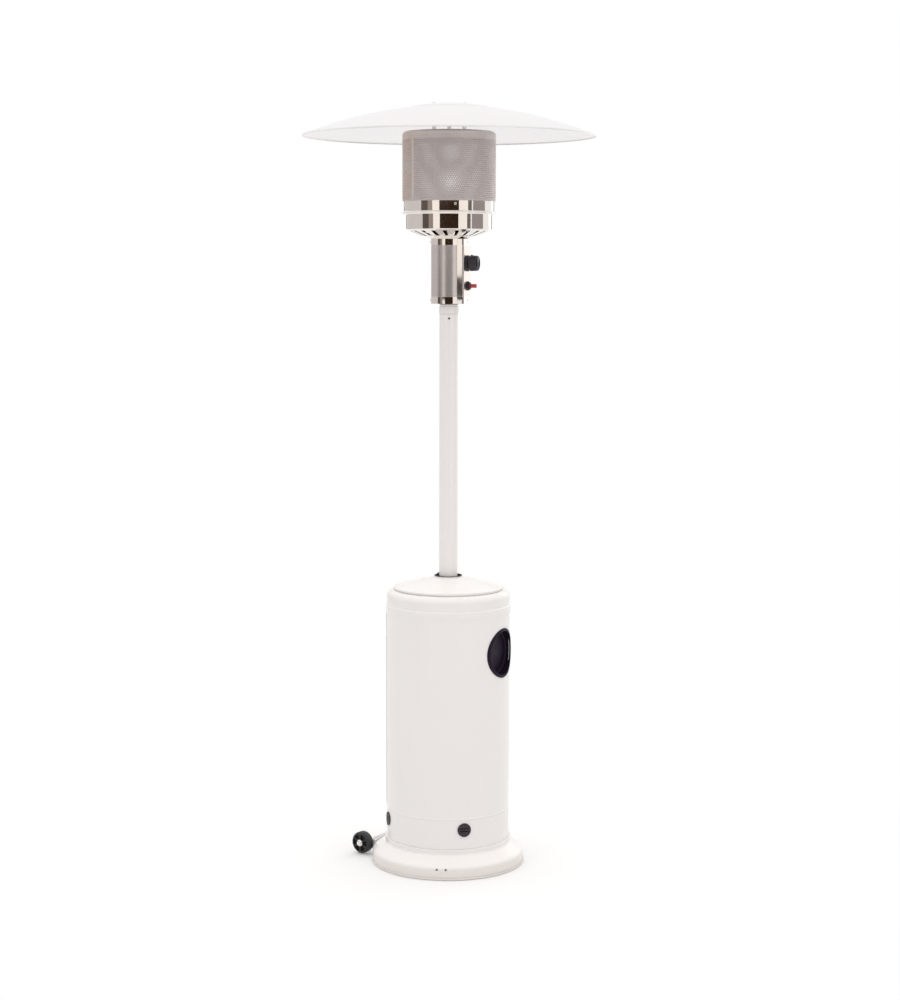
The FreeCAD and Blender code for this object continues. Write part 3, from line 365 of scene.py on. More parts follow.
SLOT_OF = {
    "Warm white enamel": "white_paint",
    "Brushed stainless steel": "brushed_steel",
    "Polished stainless steel": "polished_steel",
    "Heat-tinted screen steel": "screen_steel",
    "Spun aluminium": "aluminium",
    "Brass": "brass",
    "Zinc-plated steel": "zinc_steel",
    "Black coated steel": "black_steel",
    "Grip plastic": "black_plastic",
    "Black moulded plastic": "black_plastic",
    "Wheel plastic": "wheel_plastic",
    "Red button plastic": "red_plastic",
    "Light grey trim plastic": "trim_plastic",
    "Glazed ceramic": "ceramic",
}
# Zinc-plated fittings that are brighter than the rest
BRIGHT_FITTINGS = ("axle", "reflector_studs", "stud_nuts")


def add_node(tree, kind, inputs=None, **settings):
    """Adds a node with its settings, and sets or links its inputs."""
    made = tree.nodes.new(kind)
    for key, value in settings.items():
        setattr(made, key, value)
    for key, value in (inputs or {}).items():
        if isinstance(value, bpy.types.NodeSocket):
            tree.links.new(value, made.inputs[key])
        else:
            made.inputs[key].default_value = value
    return made


def shade(base, factor):
    """A colour made darker or lighter."""
    return tuple(min(1.0, channel * factor) for channel in base)


class Finish:
    """A material under construction, with short ways to add and join its nodes."""

    def __init__(self, name):
        self.material = bpy.data.materials.new(name)
        self.material.use_nodes = True
        self.tree = self.material.node_tree
        self.shader = self.tree.nodes["Principled BSDF"]
        self.place = self.add("ShaderNodeTexCoord").outputs["Object"]

    def add(self, kind, inputs=None, **settings):
        return add_node(self.tree, kind, inputs, **settings)

    def along(self, axis):
        """The place along one axis."""
        return self.add("ShaderNodeSeparateXYZ", {"Vector": self.place}).outputs[axis]

    def reach(self):
        """The distance from the pole's axis."""
        level = self.add("ShaderNodeCombineXYZ", {"X": self.along("X"), "Y": self.along("Y")})
        inputs = {0: level.outputs["Vector"]}
        return self.add("ShaderNodeVectorMath", inputs, operation="LENGTH").outputs["Value"]

    def stretched(self, x, y, z):
        """Object coordinates stretched by a factor along each axis."""
        return self.add("ShaderNodeMapping", {"Vector": self.place, "Scale": (x, y, z)}).outputs["Vector"]

    def noise(self, scale, detail=2.0, vector=None, roughness=0.5):
        """Noise of that scale, on the object's coordinates unless others are given."""
        inputs = {"Vector": vector or self.place, "Scale": scale, "Detail": detail, "Roughness": roughness}
        return self.add("ShaderNodeTexNoise", inputs).outputs["Fac"]

    def spread(self, value, low, high, from_low=0.3, from_high=0.7):
        """A noise value mapped to a range."""
        made = self.add("ShaderNodeMapRange", {"Value": value, "From Min": from_low, "From Max": from_high,
                                               "To Min": low, "To Max": high})
        return made.outputs["Result"]

    def blend(self, share, first, second):
        """Two colours mixed by a share of the second."""
        ends = [c if isinstance(c, bpy.types.NodeSocket) else (*c, 1.0) for c in (first, second)]
        return self.add("ShaderNodeMix", {0: share, 6: ends[0], 7: ends[1]}, data_type="RGBA").outputs[2]

    def varied(self, value, base, dark, light):
        """A colour that a noise value varies between a darker and a lighter shade of it."""
        return self.blend(self.spread(value, 0.0, 1.0), shade(base, dark), shade(base, light))

    def set(self, **sockets):
        """Sets or links the shader's own sockets, named with underscores."""
        for key, value in sockets.items():
            socket = self.shader.inputs[key.replace("_", " ")]
            if isinstance(value, bpy.types.NodeSocket):
                self.tree.links.new(value, socket)
            elif isinstance(value, (tuple, list)):
                socket.default_value = (*value, 1.0)
            else:
                socket.default_value = value

    def bump(self, height, strength, distance):
        """Lets a height pattern tilt the surface."""
        made = self.add("ShaderNodeBump", {"Height": height, "Strength": strength, "Distance": distance})
        self.tree.links.new(made.outputs["Normal"], self.shader.inputs["Normal"])


def enamel():
    """Baked enamel: a fine orange peel, faint clouding, and a brownish darkening low on the base wall that is
    partly dirt and partly painted shade near the floor.
    """
    paint = tuple(bpy.context.scene.heater_colours.paint)
    finish = Finish("Warm white enamel")
    cloudy = finish.varied(finish.noise(5.0), paint, 0.996, 1.003)
    on_pan = finish.spread(finish.reach(), 1.0, 0.0, PAN_RADIUS + 0.001, PAN_RADIUS + 0.002)
    # Painted shade: the pan's wall is blended towards a brownish colour near the floor, partly dirt and
    # partly the shade that falls there.
    low = finish.spread(finish.along("Z"), 0.34, 0.0, 0.012, 0.044)
    dust_and_shade = finish.add("ShaderNodeMath", {0: low, 1: on_pan}, operation="MULTIPLY").outputs[0]
    finish.set(Base_Color=finish.blend(dust_and_shade, cloudy, (0.66, 0.58, 0.50)),
               Roughness=finish.spread(finish.noise(9.0, 2.0), 0.20, 0.24), IOR=1.5)
    finish.bump(finish.noise(420.0, 2.0), 0.05, 0.0004)
    return finish.material


def brushed_steel():
    """Stainless sheet with hairlines that run round the head."""
    steel = tuple(bpy.context.scene.heater_colours.steel)
    finish = Finish("Brushed stainless steel")
    hairlines = finish.noise(1.0, 4.0, finish.stretched(14.0, 14.0, 1900.0), 0.6)
    broad = finish.noise(1.0, 2.0, finish.stretched(5.0, 5.0, 160.0))
    finish.set(Base_Color=finish.varied(hairlines, steel, 0.95, 1.03),
               Roughness=finish.spread(broad, 0.275, 0.295), Metallic=1.0)
    finish.bump(hairlines, 0.04, 0.00006)
    return finish.material


def polished_steel():
    """Mirror-polished stainless with faint wipe marks."""
    steel = tuple(bpy.context.scene.heater_colours.polished)
    finish = Finish("Polished stainless steel")
    wipes = finish.noise(1.0, 3.0, finish.stretched(30.0, 30.0, 12.0))
    finish.set(Base_Color=finish.varied(wipes, steel, 0.96, 1.03),
               Roughness=finish.spread(wipes, 0.03, 0.06), Metallic=1.0)
    finish.bump(finish.noise(40.0, 2.0), 0.02, 0.0004)
    return finish.material


def screen_steel():
    """Heat-resistant steel, tinted straw brown down its left side."""
    colours = bpy.context.scene.heater_colours
    grey = shade(tuple(colours.steel), 1.03)
    finish = Finish("Heat-tinted screen steel")
    side = finish.spread(finish.along("X"), 0.9, 0.0, -0.115, -0.085)
    patches = finish.spread(finish.noise(16.0, 4.0), 0.3, 1.0, 0.35, 0.65)
    share = finish.add("ShaderNodeMath", {0: side, 1: patches}, operation="MULTIPLY", use_clamp=True)
    tinted = finish.blend(share.outputs[0], grey, tuple(colours.heat_tint))
    speckle = finish.spread(finish.noise(160.0, 2.0), 0.0, 0.5)
    finish.set(Base_Color=finish.blend(speckle, tinted, shade(grey, 0.90)),
               Roughness=finish.spread(finish.noise(30.0, 3.0), 0.48, 0.60), Metallic=1.0)
    finish.bump(finish.noise(300.0, 2.0), 0.05, 0.0002)
    return finish.material


def spun_aluminium():
    """Aluminium with the fine rings that the spinning tool leaves."""
    metal = tuple(bpy.context.scene.heater_colours.aluminium)
    finish = Finish("Spun aluminium")
    across = finish.add("ShaderNodeCombineXYZ", {"X": finish.reach()}).outputs["Vector"]
    rings = finish.noise(520.0, 3.0, across, 0.6)
    finish.set(Base_Color=finish.varied(rings, metal, 0.97, 1.01),
               Roughness=finish.spread(finish.noise(7.0, 3.0), 0.46, 0.52), Metallic=1.0)
    finish.bump(rings, 0.10, 0.0001)
    return finish.material


def plain_metal(name, base, rough, grain):
    """Cast, plated or coated metal with a fine grain."""
    finish = Finish(name)
    grains = finish.noise(grain, 3.0)
    finish.set(Base_Color=finish.varied(grains, base, 0.88, 1.06),
               Roughness=finish.spread(finish.noise(grain / 4.0), rough - 0.05, rough + 0.06), Metallic=1.0)
    finish.bump(grains, 0.06, 0.0001)
    return finish.material


def plain_moulding(name, base, rough, grain, wear, gloss=0.5):
    """Moulded plastic or coating: an even grain and a faint greying."""
    finish = Finish(name)
    worn = finish.spread(finish.noise(45.0, 4.0), 0.0, 0.22, 0.5, 0.8)
    finish.set(Base_Color=finish.blend(worn, base, wear),
               Roughness=finish.spread(finish.noise(60.0, 3.0), rough - 0.06, rough + 0.08),
               Specular_IOR_Level=gloss)
    finish.bump(finish.noise(grain, 2.0), 0.08, 0.0002)
    return finish.material


def all_finishes():
    """Every finish by its name."""
    colours = bpy.context.scene.heater_colours
    moulding = tuple(colours.moulding)
    grip = tuple(colours.grip)
    button = tuple(colours.button)
    made = [
        enamel(), brushed_steel(), polished_steel(), screen_steel(), spun_aluminium(),
        plain_metal("Brass", (0.72, 0.52, 0.24), 0.30, 260.0),
        plain_metal("Zinc-plated steel", (0.74, 0.73, 0.715), 0.36, 190.0),
        plain_moulding("Black coated steel", (0.024, 0.023, 0.025), 0.42, 1200.0, (0.06, 0.06, 0.06)),
        plain_moulding("Grip plastic", grip, 0.50, 1700.0, shade(grip, 1.6), 0.16),
        plain_moulding("Black moulded plastic", moulding, 0.46, 1700.0, shade(moulding, 2.0)),
        plain_moulding("Wheel plastic", (0.020, 0.020, 0.022), 0.50, 900.0, (0.055, 0.053, 0.052)),
        plain_moulding("Red button plastic", button, 0.30, 1500.0, shade(button, 1.3)),
        plain_moulding("Glazed ceramic", (0.82, 0.79, 0.73), 0.22, 700.0, (0.70, 0.64, 0.56)),
        plain_moulding("Light grey trim plastic", (0.77, 0.73, 0.70), 0.40, 900.0, (0.62, 0.58, 0.55)),
        plain_moulding("White marking", (0.80, 0.80, 0.78), 0.45, 1500.0, (0.65, 0.64, 0.62)),
    ]
    return {material.name: material for material in made}


FINISHES = {}


def finish_of(name):
    """The finish of that name; the first call makes them all."""
    if not FINISHES:
        FINISHES.update(all_finishes())
    return FINISHES[name]


# Base and wheels

def base_pan():
    """The pressed base with its raised platform and three pairs of small holes."""
    sizes = bpy.context.scene.heater_sizes
    neck = 0.1845
    step = 0.1775
    hole = 0.0036
    bm = spun_sheet([(PAN_RADIUS, 0.002), (PAN_RADIUS, 0.0364, 0.013), (neck, 0.064, 0.008),
                     (neck, HOUSING_LOW, 0.0012), (step, HOUSING_LOW, 0.0010), (step, PLATFORM, 0.0025),
                     (0.0, PLATFORM)], 216)
    for pair in range(PAIR_COUNT):
        for side in (-1.0, 1.0):
            azimuth = PAIR_AZIMUTH + 360.0 / PAIR_COUNT * pair
            azimuth += side * math.degrees(PAIR_HALF_SPACING / PAN_RADIUS)
            punch(bm, azimuth, PAIR_HEIGHT, hole, PAN_RADIUS)
    thicken(bm, sizes.pan_sheet)
    return finished("pressed_base", bm, "stand", "Warm white enamel", ["base_pan"])


def edge_trim():
    """The strip clipped round the pan's foot, with a groove and a set-back foot."""
    inner = PAN_RADIUS - 0.0031
    groove = BASE_RADIUS - 0.0014
    foot = BASE_RADIUS - 0.0040
    height = 0.010
    wall = 0.0015
    bm = turned([(inner, 0.0, 0.0004), (foot, 0.0), (foot, 0.0016), (BASE_RADIUS, 0.0018, 0.0006),
                 (BASE_RADIUS, 0.0074, 0.0002), (groove, 0.0076), (groove, 0.0094),
                 (BASE_RADIUS, 0.0095), (BASE_RADIUS, height, 0.0003), (BASE_RADIUS - wall, height),
                 (BASE_RADIUS - wall, 0.002), (inner + wall, 0.002), (inner + wall, height),
                 (inner, height)], 192)
    return finished("foot_strip", bm, "stand", "Light grey trim plastic", ["edge_trim"])


class HEATER_OT_base(bpy.types.Operator):
    """Press the base and clip the strip round its foot"""
    bl_idname = "heater.base"
    bl_label = "Base"

    def execute(self, context):
        base_pan()
        edge_trim()
        return {"FINISHED"}


class HEATER_OT_wheels(bpy.types.Operator):
    """Finish the two transport wheels, their axle and bracket"""
    bl_idname = "heater.wheels"
    bl_label = "Wheels"

    def execute(self, context):
        for side in ("left", "right"):
            finished("wheel_%s_tyre" % side, softened("wheel_" + side, 0.0005), side + "_wheel",
                     "Wheel plastic", ["wheel_" + side], 50.0)
        edge = 0.0105
        bore = 0.0052
        cap = turned([(0.0, 0.0072), (0.0062, 0.0066, 0.004), (edge, 0.0022, 0.002), (edge, 0.0), (bore, 0.0),
                      (bore, 0.0051), (0.0, 0.0051)], 48)
        behind = facing(WHEEL_AZIMUTH)
        places = [behind @ Matrix.Translation((AXLE_REACH, side * WHEEL_FACE, AXLE_HEIGHT))
                  @ Matrix.Rotation(-side * math.radians(90.0), 4, "X") for side in (-1.0, 1.0)]
        finished("axle_caps", copies(cap, places), "stand", "Polished stainless steel",
                 ["hub_caps"], 60.0)
        screw = screw_head(context.scene.heater_sizes.screw_radius)
        places = [behind @ outwards(0.2255, PAIR_HEIGHT, side * PAIR_HALF_SPACING) for side in (-1.0, 1.0)]
        finished("bracket_screws", copies(screw, places), "stand", "Zinc-plated steel")
        return {"FINISHED"}


def screw_head(radius):
    """A domed screw head with a round recess, standing on the XY plane."""
    return turned([(0.0, radius * 0.28), (radius * 0.40, radius * 0.28), (radius * 0.42, radius * 0.60),
                   (radius * 0.80, radius * 0.46, radius * 0.5), (radius, 0.0), (0.0, 0.0)], 18)


# Housing

def housing_shell():
    """The rolled sleeve: two beads, rounded shoulder, side seam, openings for grips and vent plugs.

    The close corners give the wall short faces where the openings are punched.
    """
    sizes = bpy.context.scene.heater_sizes
    radius = sizes.housing_radius
    proud = radius + 0.0020
    faint = radius + 0.0008
    corners = [(radius, HOUSING_LOW + 0.0004)]
    corners += [(radius, 0.112 + 0.006 * i) for i in range(9)]
    corners += [(radius, 0.163, 0.002), (faint, 0.165, 0.002), (faint, 0.169, 0.002), (radius, 0.171, 0.002)]
    corners += [(radius, 0.563 + 0.0062 * i) for i in range(25)]
    corners += [(radius, 0.7360, 0.030), (proud, 0.7560, 0.020), (proud, 0.7668, 0.0015),
                (radius, 0.7700, 0.0015), (radius, HOUSING_TOP, 0.020), (0.140, HOUSING_TOP)]
    bm = spun_sheet(corners, 216)
    for azimuth in GRIP_AZIMUTHS.values():
        punch(bm, azimuth, GRIP_HEIGHT, 0.067, radius)
    for i in range(VENT_COUNT):
        punch(bm, VENT_AZIMUTH + 360.0 / VENT_COUNT * i, VENT_HEIGHT, 0.016, radius)
    thicken(bm, sizes.housing_sheet)
    added(bm, seam_strip(radius, 0.0018, 0.176, 0.742, 0.014, -88.0, 0.0006))
    return finished("bottle_sleeve", bm, "housing", "Warm white enamel", ["housing_shell"], 40.0)


def housing_lid():
    """The spun lid with its upright rim, the lip round the pole's hole and a black ring on that lip as
    painted shade in the gap round the pole.
    """
    sizes = bpy.context.scene.heater_sizes
    foot = LID_RADIUS - 0.0032
    hole = 0.040
    bm = spun_sheet([(foot, HOUSING_TOP + 0.0001), (foot, HOUSING_TOP + 0.0020),
                     (LID_RADIUS - 0.0006, HOUSING_TOP + 0.0024, 0.0005),
                     (LID_RADIUS, HOUSING_TOP + 0.008, 0.0014),
                     (hole, LID_TOP - 0.003, 0.0015), (hole, LID_TOP)], 192)
    thicken(bm, sizes.housing_sheet)
    # Painted shade: a black ring on the lip darkens the gap round the pole, where shade falls into the hole.
    inner = hole - 0.0032
    outer = hole + 0.0008
    ring = turned([(inner, LID_TOP - 0.0050), (0.0389, LID_TOP - 0.0050), (0.0389, LID_TOP + 0.0001),
                   (0.0401, LID_TOP + 0.0001), (0.0401, LID_TOP - 0.0008), (outer, LID_TOP - 0.0008),
                   (outer, LID_TOP + 0.0008, 0.0006), (inner, LID_TOP + 0.0008, 0.0006)], 72)
    finished("lid_shade_ring", ring, "housing", "Black moulded plastic")
    return finished("sleeve_lid", bm, "housing", "Warm white enamel", ["housing_lid"])


def grip_shape(radius):
    """A recessed hand grip about the X axis: the rim is bent, its back follows the sleeve."""
    face = 0.184
    back = 0.179
    floor = 0.155
    cup = 0.0669
    pocket = 0.0640
    bend = 0.200
    bm = turned([(0.0, floor - 0.002), (cup, floor - 0.002, 0.004), (cup, back), (radius, back),
                 (radius, face - 0.0008, 0.0022), (pocket + 0.0026, face - 0.0005, 0.0003),
                 (pocket + 0.0021, face, 0.0004), (pocket, face, 0.0012), (pocket, floor, 0.0060),
                 (0.0, floor)], 96)
    moved(bm, Matrix.Rotation(math.radians(90.0), 4, "Y"))
    wall = bpy.context.scene.heater_sizes.housing_radius + 0.0001
    for vert in bm.verts:
        y = vert.co.y
        sag = bend - math.sqrt(bend ** 2 - y * y)
        reach = math.hypot(y, vert.co.z)
        if abs(vert.co.x - back) < 0.0005 and reach > cup - 0.0001:
            vert.co.x = math.sqrt(wall * wall - y * y)
        else:
            vert.co.x -= sag * min(1.0, max(0.0, (vert.co.x - 0.162) / 0.014))
    moved(bm, Matrix.Translation((0.0, 0.0, GRIP_HEIGHT)))
    bmesh.ops.recalc_face_normals(bm, faces=bm.faces)
    return bm


class HEATER_OT_housing(bpy.types.Operator):
    """Roll the sleeve over the gas bottle and spin its lid"""
    bl_idname = "heater.housing"
    bl_label = "Housing"

    def execute(self, context):
        housing_shell()
        housing_lid()
        return {"FINISHED"}


class HEATER_OT_grips(bpy.types.Operator):
    """Mould the two hand grips and the four vent plugs"""
    bl_idname = "heater.grips"
    bl_label = "Grips and vent plugs"

    def execute(self, context):
        for side, azimuth in GRIP_AZIMUTHS.items():
            bm = grip_shape(context.scene.heater_sizes.grip_radius)
            moved(bm, facing(azimuth))
            finished("grip_cup_" + side, bm, "housing", "Grip plastic", ["hand_grip_" + side])
        finished("vent_louvres", softened("vent_plugs", 0.0004), "housing", "Black moulded plastic",
                 ["vent_plugs"])
        return {"FINISHED"}


# Pole and neck

class HEATER_OT_pole(bpy.types.Operator):
    """Draw the pole, put the neck's screws in and a black ring over them as painted shade under the head"""
    bl_idname = "heater.pole"
    bl_label = "Pole and neck"

    def execute(self, context):
        radius = context.scene.heater_sizes.pole_radius
        inner = radius - 0.0015
        top = POLE_TOP - 0.0007
        bm = turned([(inner, POLE_LOW), (radius, POLE_LOW, 0.0004), (radius, top, 0.0010), (inner, top)], 96)
        finished("pole_tube", bm, "stand", "Warm white enamel", ["pole"])
        screw = screw_head(context.scene.heater_sizes.screw_radius * 0.9)
        places = [facing(2.0 + 120.0 * i) @ outwards(radius - 0.0001, POLE_TOP - 0.013) for i in range(3)]
        finished("neck_screws", copies(screw, places), "stand", "Black coated steel")
        # Painted shadow: a thin black ring under the head's low cap stands in for the shadow where the cap
        # meets the neck.
        bore = 0.0262
        edge = 0.0275
        shade_ring = turned([(bore, HEAD_LOW - 0.0022), (edge, HEAD_LOW - 0.0022, 0.0005),
                       (edge, HEAD_LOW, 0.0003), (bore, HEAD_LOW)], 72)
        finished("neck_shade_ring", shade_ring, "stand", "Black moulded plastic")
        return {"FINISHED"}


# Control head

class HEATER_OT_control_head(bpy.types.Operator):
    """Fold the head's sleeve, with bright flanks beside its panel, and press its two caps"""
    bl_idname = "heater.control_head"
    bl_label = "Control head"

    def execute(self, context):
        polished = "Polished stainless steel"
        sleeve = finished("head_sleeve", whole_faces("control_body"), "stand",
                          "Brushed stainless steel", ["control_body"])
        sleeve.data.materials.append(finish_of(polished))
        across = facing(PANEL_AZIMUTH - 90.0) @ Vector((1.0, 0.0, 0.0))
        for face in sleeve.data.polygons:
            if abs(face.normal.dot(across)) > 0.98 and abs(face.center.dot(across)) < 0.040:
                face.material_index = 1
        finished("head_cap_low", softened("bottom_cap", 0.0004), "stand", polished, ["bottom_cap"])
        finished("head_cap_high", softened("top_cap", 0.0004), "stand", polished, ["top_cap"])
        screw = screw_head(context.scene.heater_sizes.screw_radius)
        places = []
        for height in (HEAD_LOW + 0.010, HEAD_TOP - 0.009):
            for back in (162.0, -162.0):
                places.append(facing(PANEL_AZIMUTH + back) @ outwards(0.0523, height))
            places.append(facing(PANEL_AZIMUTH) @ outwards(0.0568, height))
        finished("cap_screws", copies(screw, places), "stand", "Zinc-plated steel")
        return {"FINISHED"}


def knob_shape():
    """The gas knob on the XY plane: a round shell, a grip bar across its hollow front and a pointer."""
    bm = turned([(0.0, 0.0080), (0.0040, 0.0080), (0.0040, 0.0), (0.0080, 0.0, 0.0004), (0.0080, 0.0070),
                 (0.0190, 0.0070), (0.0190, 0.0), (0.0225, 0.0, 0.0006), (0.0216, 0.0190),
                 (0.0213, 0.0220, 0.0026), (0.0190, 0.0220, 0.0004), (0.0190, 0.0100, 0.0010),
                 (0.0, 0.0100)], 96)
    bar = block((0.0390, 0.0120, 0.0125), (0.0, 0.0, 0.01575))
    top = [e for e in bar.edges if min(v.co.z for v in e.verts) > 0.0210]
    added(bm, rounded(bar, top, 0.0016, 4))
    pointer = block((0.0040, 0.0030, 0.0060), (-0.0221, 0.0, 0.0030))
    return added(bm, rounded(pointer, pointer.edges[:], 0.0005))


class HEATER_OT_controls(bpy.types.Operator):
    """Mould the knob with its mark, the bezel behind it and the igniter with its button"""
    bl_idname = "heater.controls"
    bl_label = "Controls"

    def execute(self, context):
        black = "Black moulded plastic"
        panel = facing(PANEL_AZIMUTH)
        place = panel @ outwards(0.0660, KNOB_HEIGHT)
        bm = knob_shape()
        moved(bm, place)
        finished("gas_knob", bm, "knob", black, ["control_knob"])
        mark = block((0.0110, 0.0018, 0.0004), (-0.0110, 0.0, 0.0221))
        moved(mark, place)
        finished("knob_mark", mark, "knob", "White marking")
        bezel = turned([(0.0101, 0.0), (0.0230, 0.0), (0.0230, 0.0050, 0.0012), (0.0101, 0.0050)], 72)
        moved(bezel, panel @ outwards(0.0560, KNOB_HEIGHT))
        finished("dial_plate", bezel, "stand", black, ["knob_bezel"])
        finished("igniter_ring", softened("igniter_nut", 0.0005), "stand", black, ["igniter_nut"])
        button = turned([(0.0, 0.0), (0.0055, 0.0), (0.0055, 0.0345, 0.0016), (0.0, 0.0345)], 48)
        moved(button, panel @ outwards(0.0490, BUTTON_HEIGHT))
        finished("spark_button", button, "igniter_button", "Red button plastic", ["igniter_button"])
        return {"FINISHED"}


# Burner and emitter

def burner_bowl():
    """The bowl: slotted cone under a tall polished wall."""
    sizes = bpy.context.scene.heater_sizes
    slots = 20
    half_width = 0.0060
    slot_foot = 0.076
    slot_head = 0.113
    wall = 0.123
    sector = TURN / slots
    bm = outline([(0.0051, HEAD_TOP), (0.053, HEAD_TOP, 0.004), (slot_foot, HEAD_TOP + 0.00854),
                  (slot_head, HEAD_TOP + 0.02229), (wall, HEAD_TOP + 0.026, 0.003), (wall, BOWL_TOP)])
    sweep(bm, sector, 8)
    moved(bm, Matrix.Rotation(-sector / 2.0, 4, "Z"))

    def cone():
        """The faces between a slot's two ends."""
        return [f for f in bm.faces if slot_foot < math.hypot(*f.calc_center_median().xy) < slot_head]

    for side in (-1.0, 1.0):
        faces = cone()
        edges = {e for f in faces for e in f.edges}
        verts = {v for f in faces for v in f.verts}
        bmesh.ops.bisect_plane(bm, geom=faces + list(edges) + list(verts), dist=1e-7,
                               plane_co=(0.0, side * half_width, 0.0), plane_no=(0.0, 1.0, 0.0))
    slot = [f for f in cone() if abs(f.calc_center_median().y) < half_width]
    bmesh.ops.delete(bm, geom=slot, context="FACES")
    sweep(bm, TURN, slots, copy=True)
    bmesh.ops.remove_doubles(bm, verts=bm.verts, dist=2e-5)
    bmesh.ops.recalc_face_normals(bm, faces=bm.faces)
    moved(bm, facing(-6.0))
    thicken(bm, sizes.bowl_sheet)
    return finished("slotted_bowl", bm, "stand", "Polished stainless steel", ["burner_bowl"])


class HEATER_OT_burner(bpy.types.Operator):
    """Press the slotted bowl, its bright rim and the polished band"""
    bl_idname = "heater.burner"
    bl_label = "Burner bowl and bands"

    def execute(self, context):
        sizes = context.scene.heater_sizes
        polished = "Polished stainless steel"
        burner_bowl()
        bead = PLATE_RADIUS - 0.0035
        middle = (BOWL_TOP + PLATE_TOP) / 2.0
        rim = spun_sheet([(0.0151, BOWL_TOP), (bead, BOWL_TOP, 0.001), (PLATE_RADIUS, middle, 0.003),
                          (bead, PLATE_TOP)], 192)
        finished("tray_rim", thicken(rim, 0.0015), "stand", polished, ["burner_plate"])
        band = spun_sheet([(BAND_RADIUS, BOWL_TOP + 0.0015), (BAND_RADIUS, BAND_TOP, 0.0010),
                           (BAND_LIP, BAND_TOP)], 192)
        finished("polished_band", thicken(band, sizes.bowl_sheet), "stand", polished, ["upper_band"])
        screw = screw_head(sizes.screw_radius * 1.1)
        places = [facing(azimuth) @ outwards(BAND_RADIUS - 0.0001, BAND_TOP - 0.010)
                  for azimuth in (8.0, 98.0, 188.0, -82.0)]
        finished("band_screws", copies(screw, places), "stand", polished)
        return {"FINISHED"}


def emitter_screen():
    """The perforated sheet, hexagon by hexagon, rolled with an overlap seam down its side."""
    sizes = bpy.context.scene.heater_sizes
    radius = SCREEN_RADIUS
    sheet = 0.0008
    low = BAND_TOP + 0.0030
    around = round(TURN * radius / sizes.hole_pitch)
    pitch = TURN * radius / around
    row_height = pitch * math.sqrt(0.75)
    bm = bmesh.new()
    bmesh.ops.create_circle(bm, cap_ends=True, segments=6, radius=pitch / math.sqrt(3.0))
    moved(bm, outwards(radius, low))
    sweep(bm, TURN, around, copy=True)
    bmesh.ops.remove_doubles(bm, verts=bm.verts, dist=1e-4)
    ring = bm.copy()
    half_step = Matrix.Rotation(TURN / around / 2.0, 4, "Z")
    rows = math.ceil((SCREEN_TOP - low) / row_height) + 1
    for row in range(1, rows):
        place = Matrix.Translation((0.0, 0.0, row_height * row))
        if row % 2:
            place = place @ half_step
        added(bm, moved(ring.copy(), place))
    ring.free()
    bmesh.ops.remove_doubles(bm, verts=bm.verts, dist=1e-4)
    for vert in bm.verts:
        flat = Vector((vert.co.x, vert.co.y, 0.0)).normalized() * radius
        vert.co = Vector((flat.x, flat.y, vert.co.z))
    bmesh.ops.recalc_face_normals(bm, faces=bm.faces)
    cells = bm.faces[:]
    bmesh.ops.inset_individual(bm, faces=cells, thickness=sizes.hole_bridge / 2.0, depth=0.0,
                               use_even_offset=True)
    bmesh.ops.delete(bm, geom=cells, context="FACES")
    for height, up in ((low, -1.0), (SCREEN_TOP - 0.0030, 1.0)):
        bmesh.ops.bisect_plane(bm, geom=bm.verts[:] + bm.edges[:] + bm.faces[:], dist=1e-7,
                               plane_co=(0.0, 0.0, height), plane_no=(0.0, 0.0, up), clear_outer=True)
    thicken(bm, sheet)
    for hem in ([(BAND_LIP, BAND_TOP), (radius, BAND_TOP), (radius, low + 0.0002)],
                [(radius, SCREEN_TOP - 0.0032), (radius, SCREEN_TOP)]):
        added(bm, thicken(spun_sheet(hem, around), sheet))
    added(bm, seam_strip(radius, sheet, BAND_TOP, SCREEN_TOP - 0.009, 0.009, -50.0))
    return finished("perforated_screen", bm, "stand", "Heat-tinted screen steel", ["emitter_screen"])


class HEATER_OT_screen(bpy.types.Operator):
    """Punch and roll the emitter screen and press the cap over it"""
    bl_idname = "heater.screen"
    bl_label = "Emitter screen"

    def execute(self, context):
        emitter_screen()
        edge = SCREEN_RADIUS + 0.0009
        cap = spun_sheet([(edge, SCREEN_TOP - 0.008), (edge, EMITTER_TOP, 0.012), (0.0, EMITTER_TOP)])
        finished("screen_cap", thicken(cap, 0.0008), "stand", "Heat-tinted screen steel",
                 ["emitter_cap"])
        return {"FINISHED"}


# Reflector

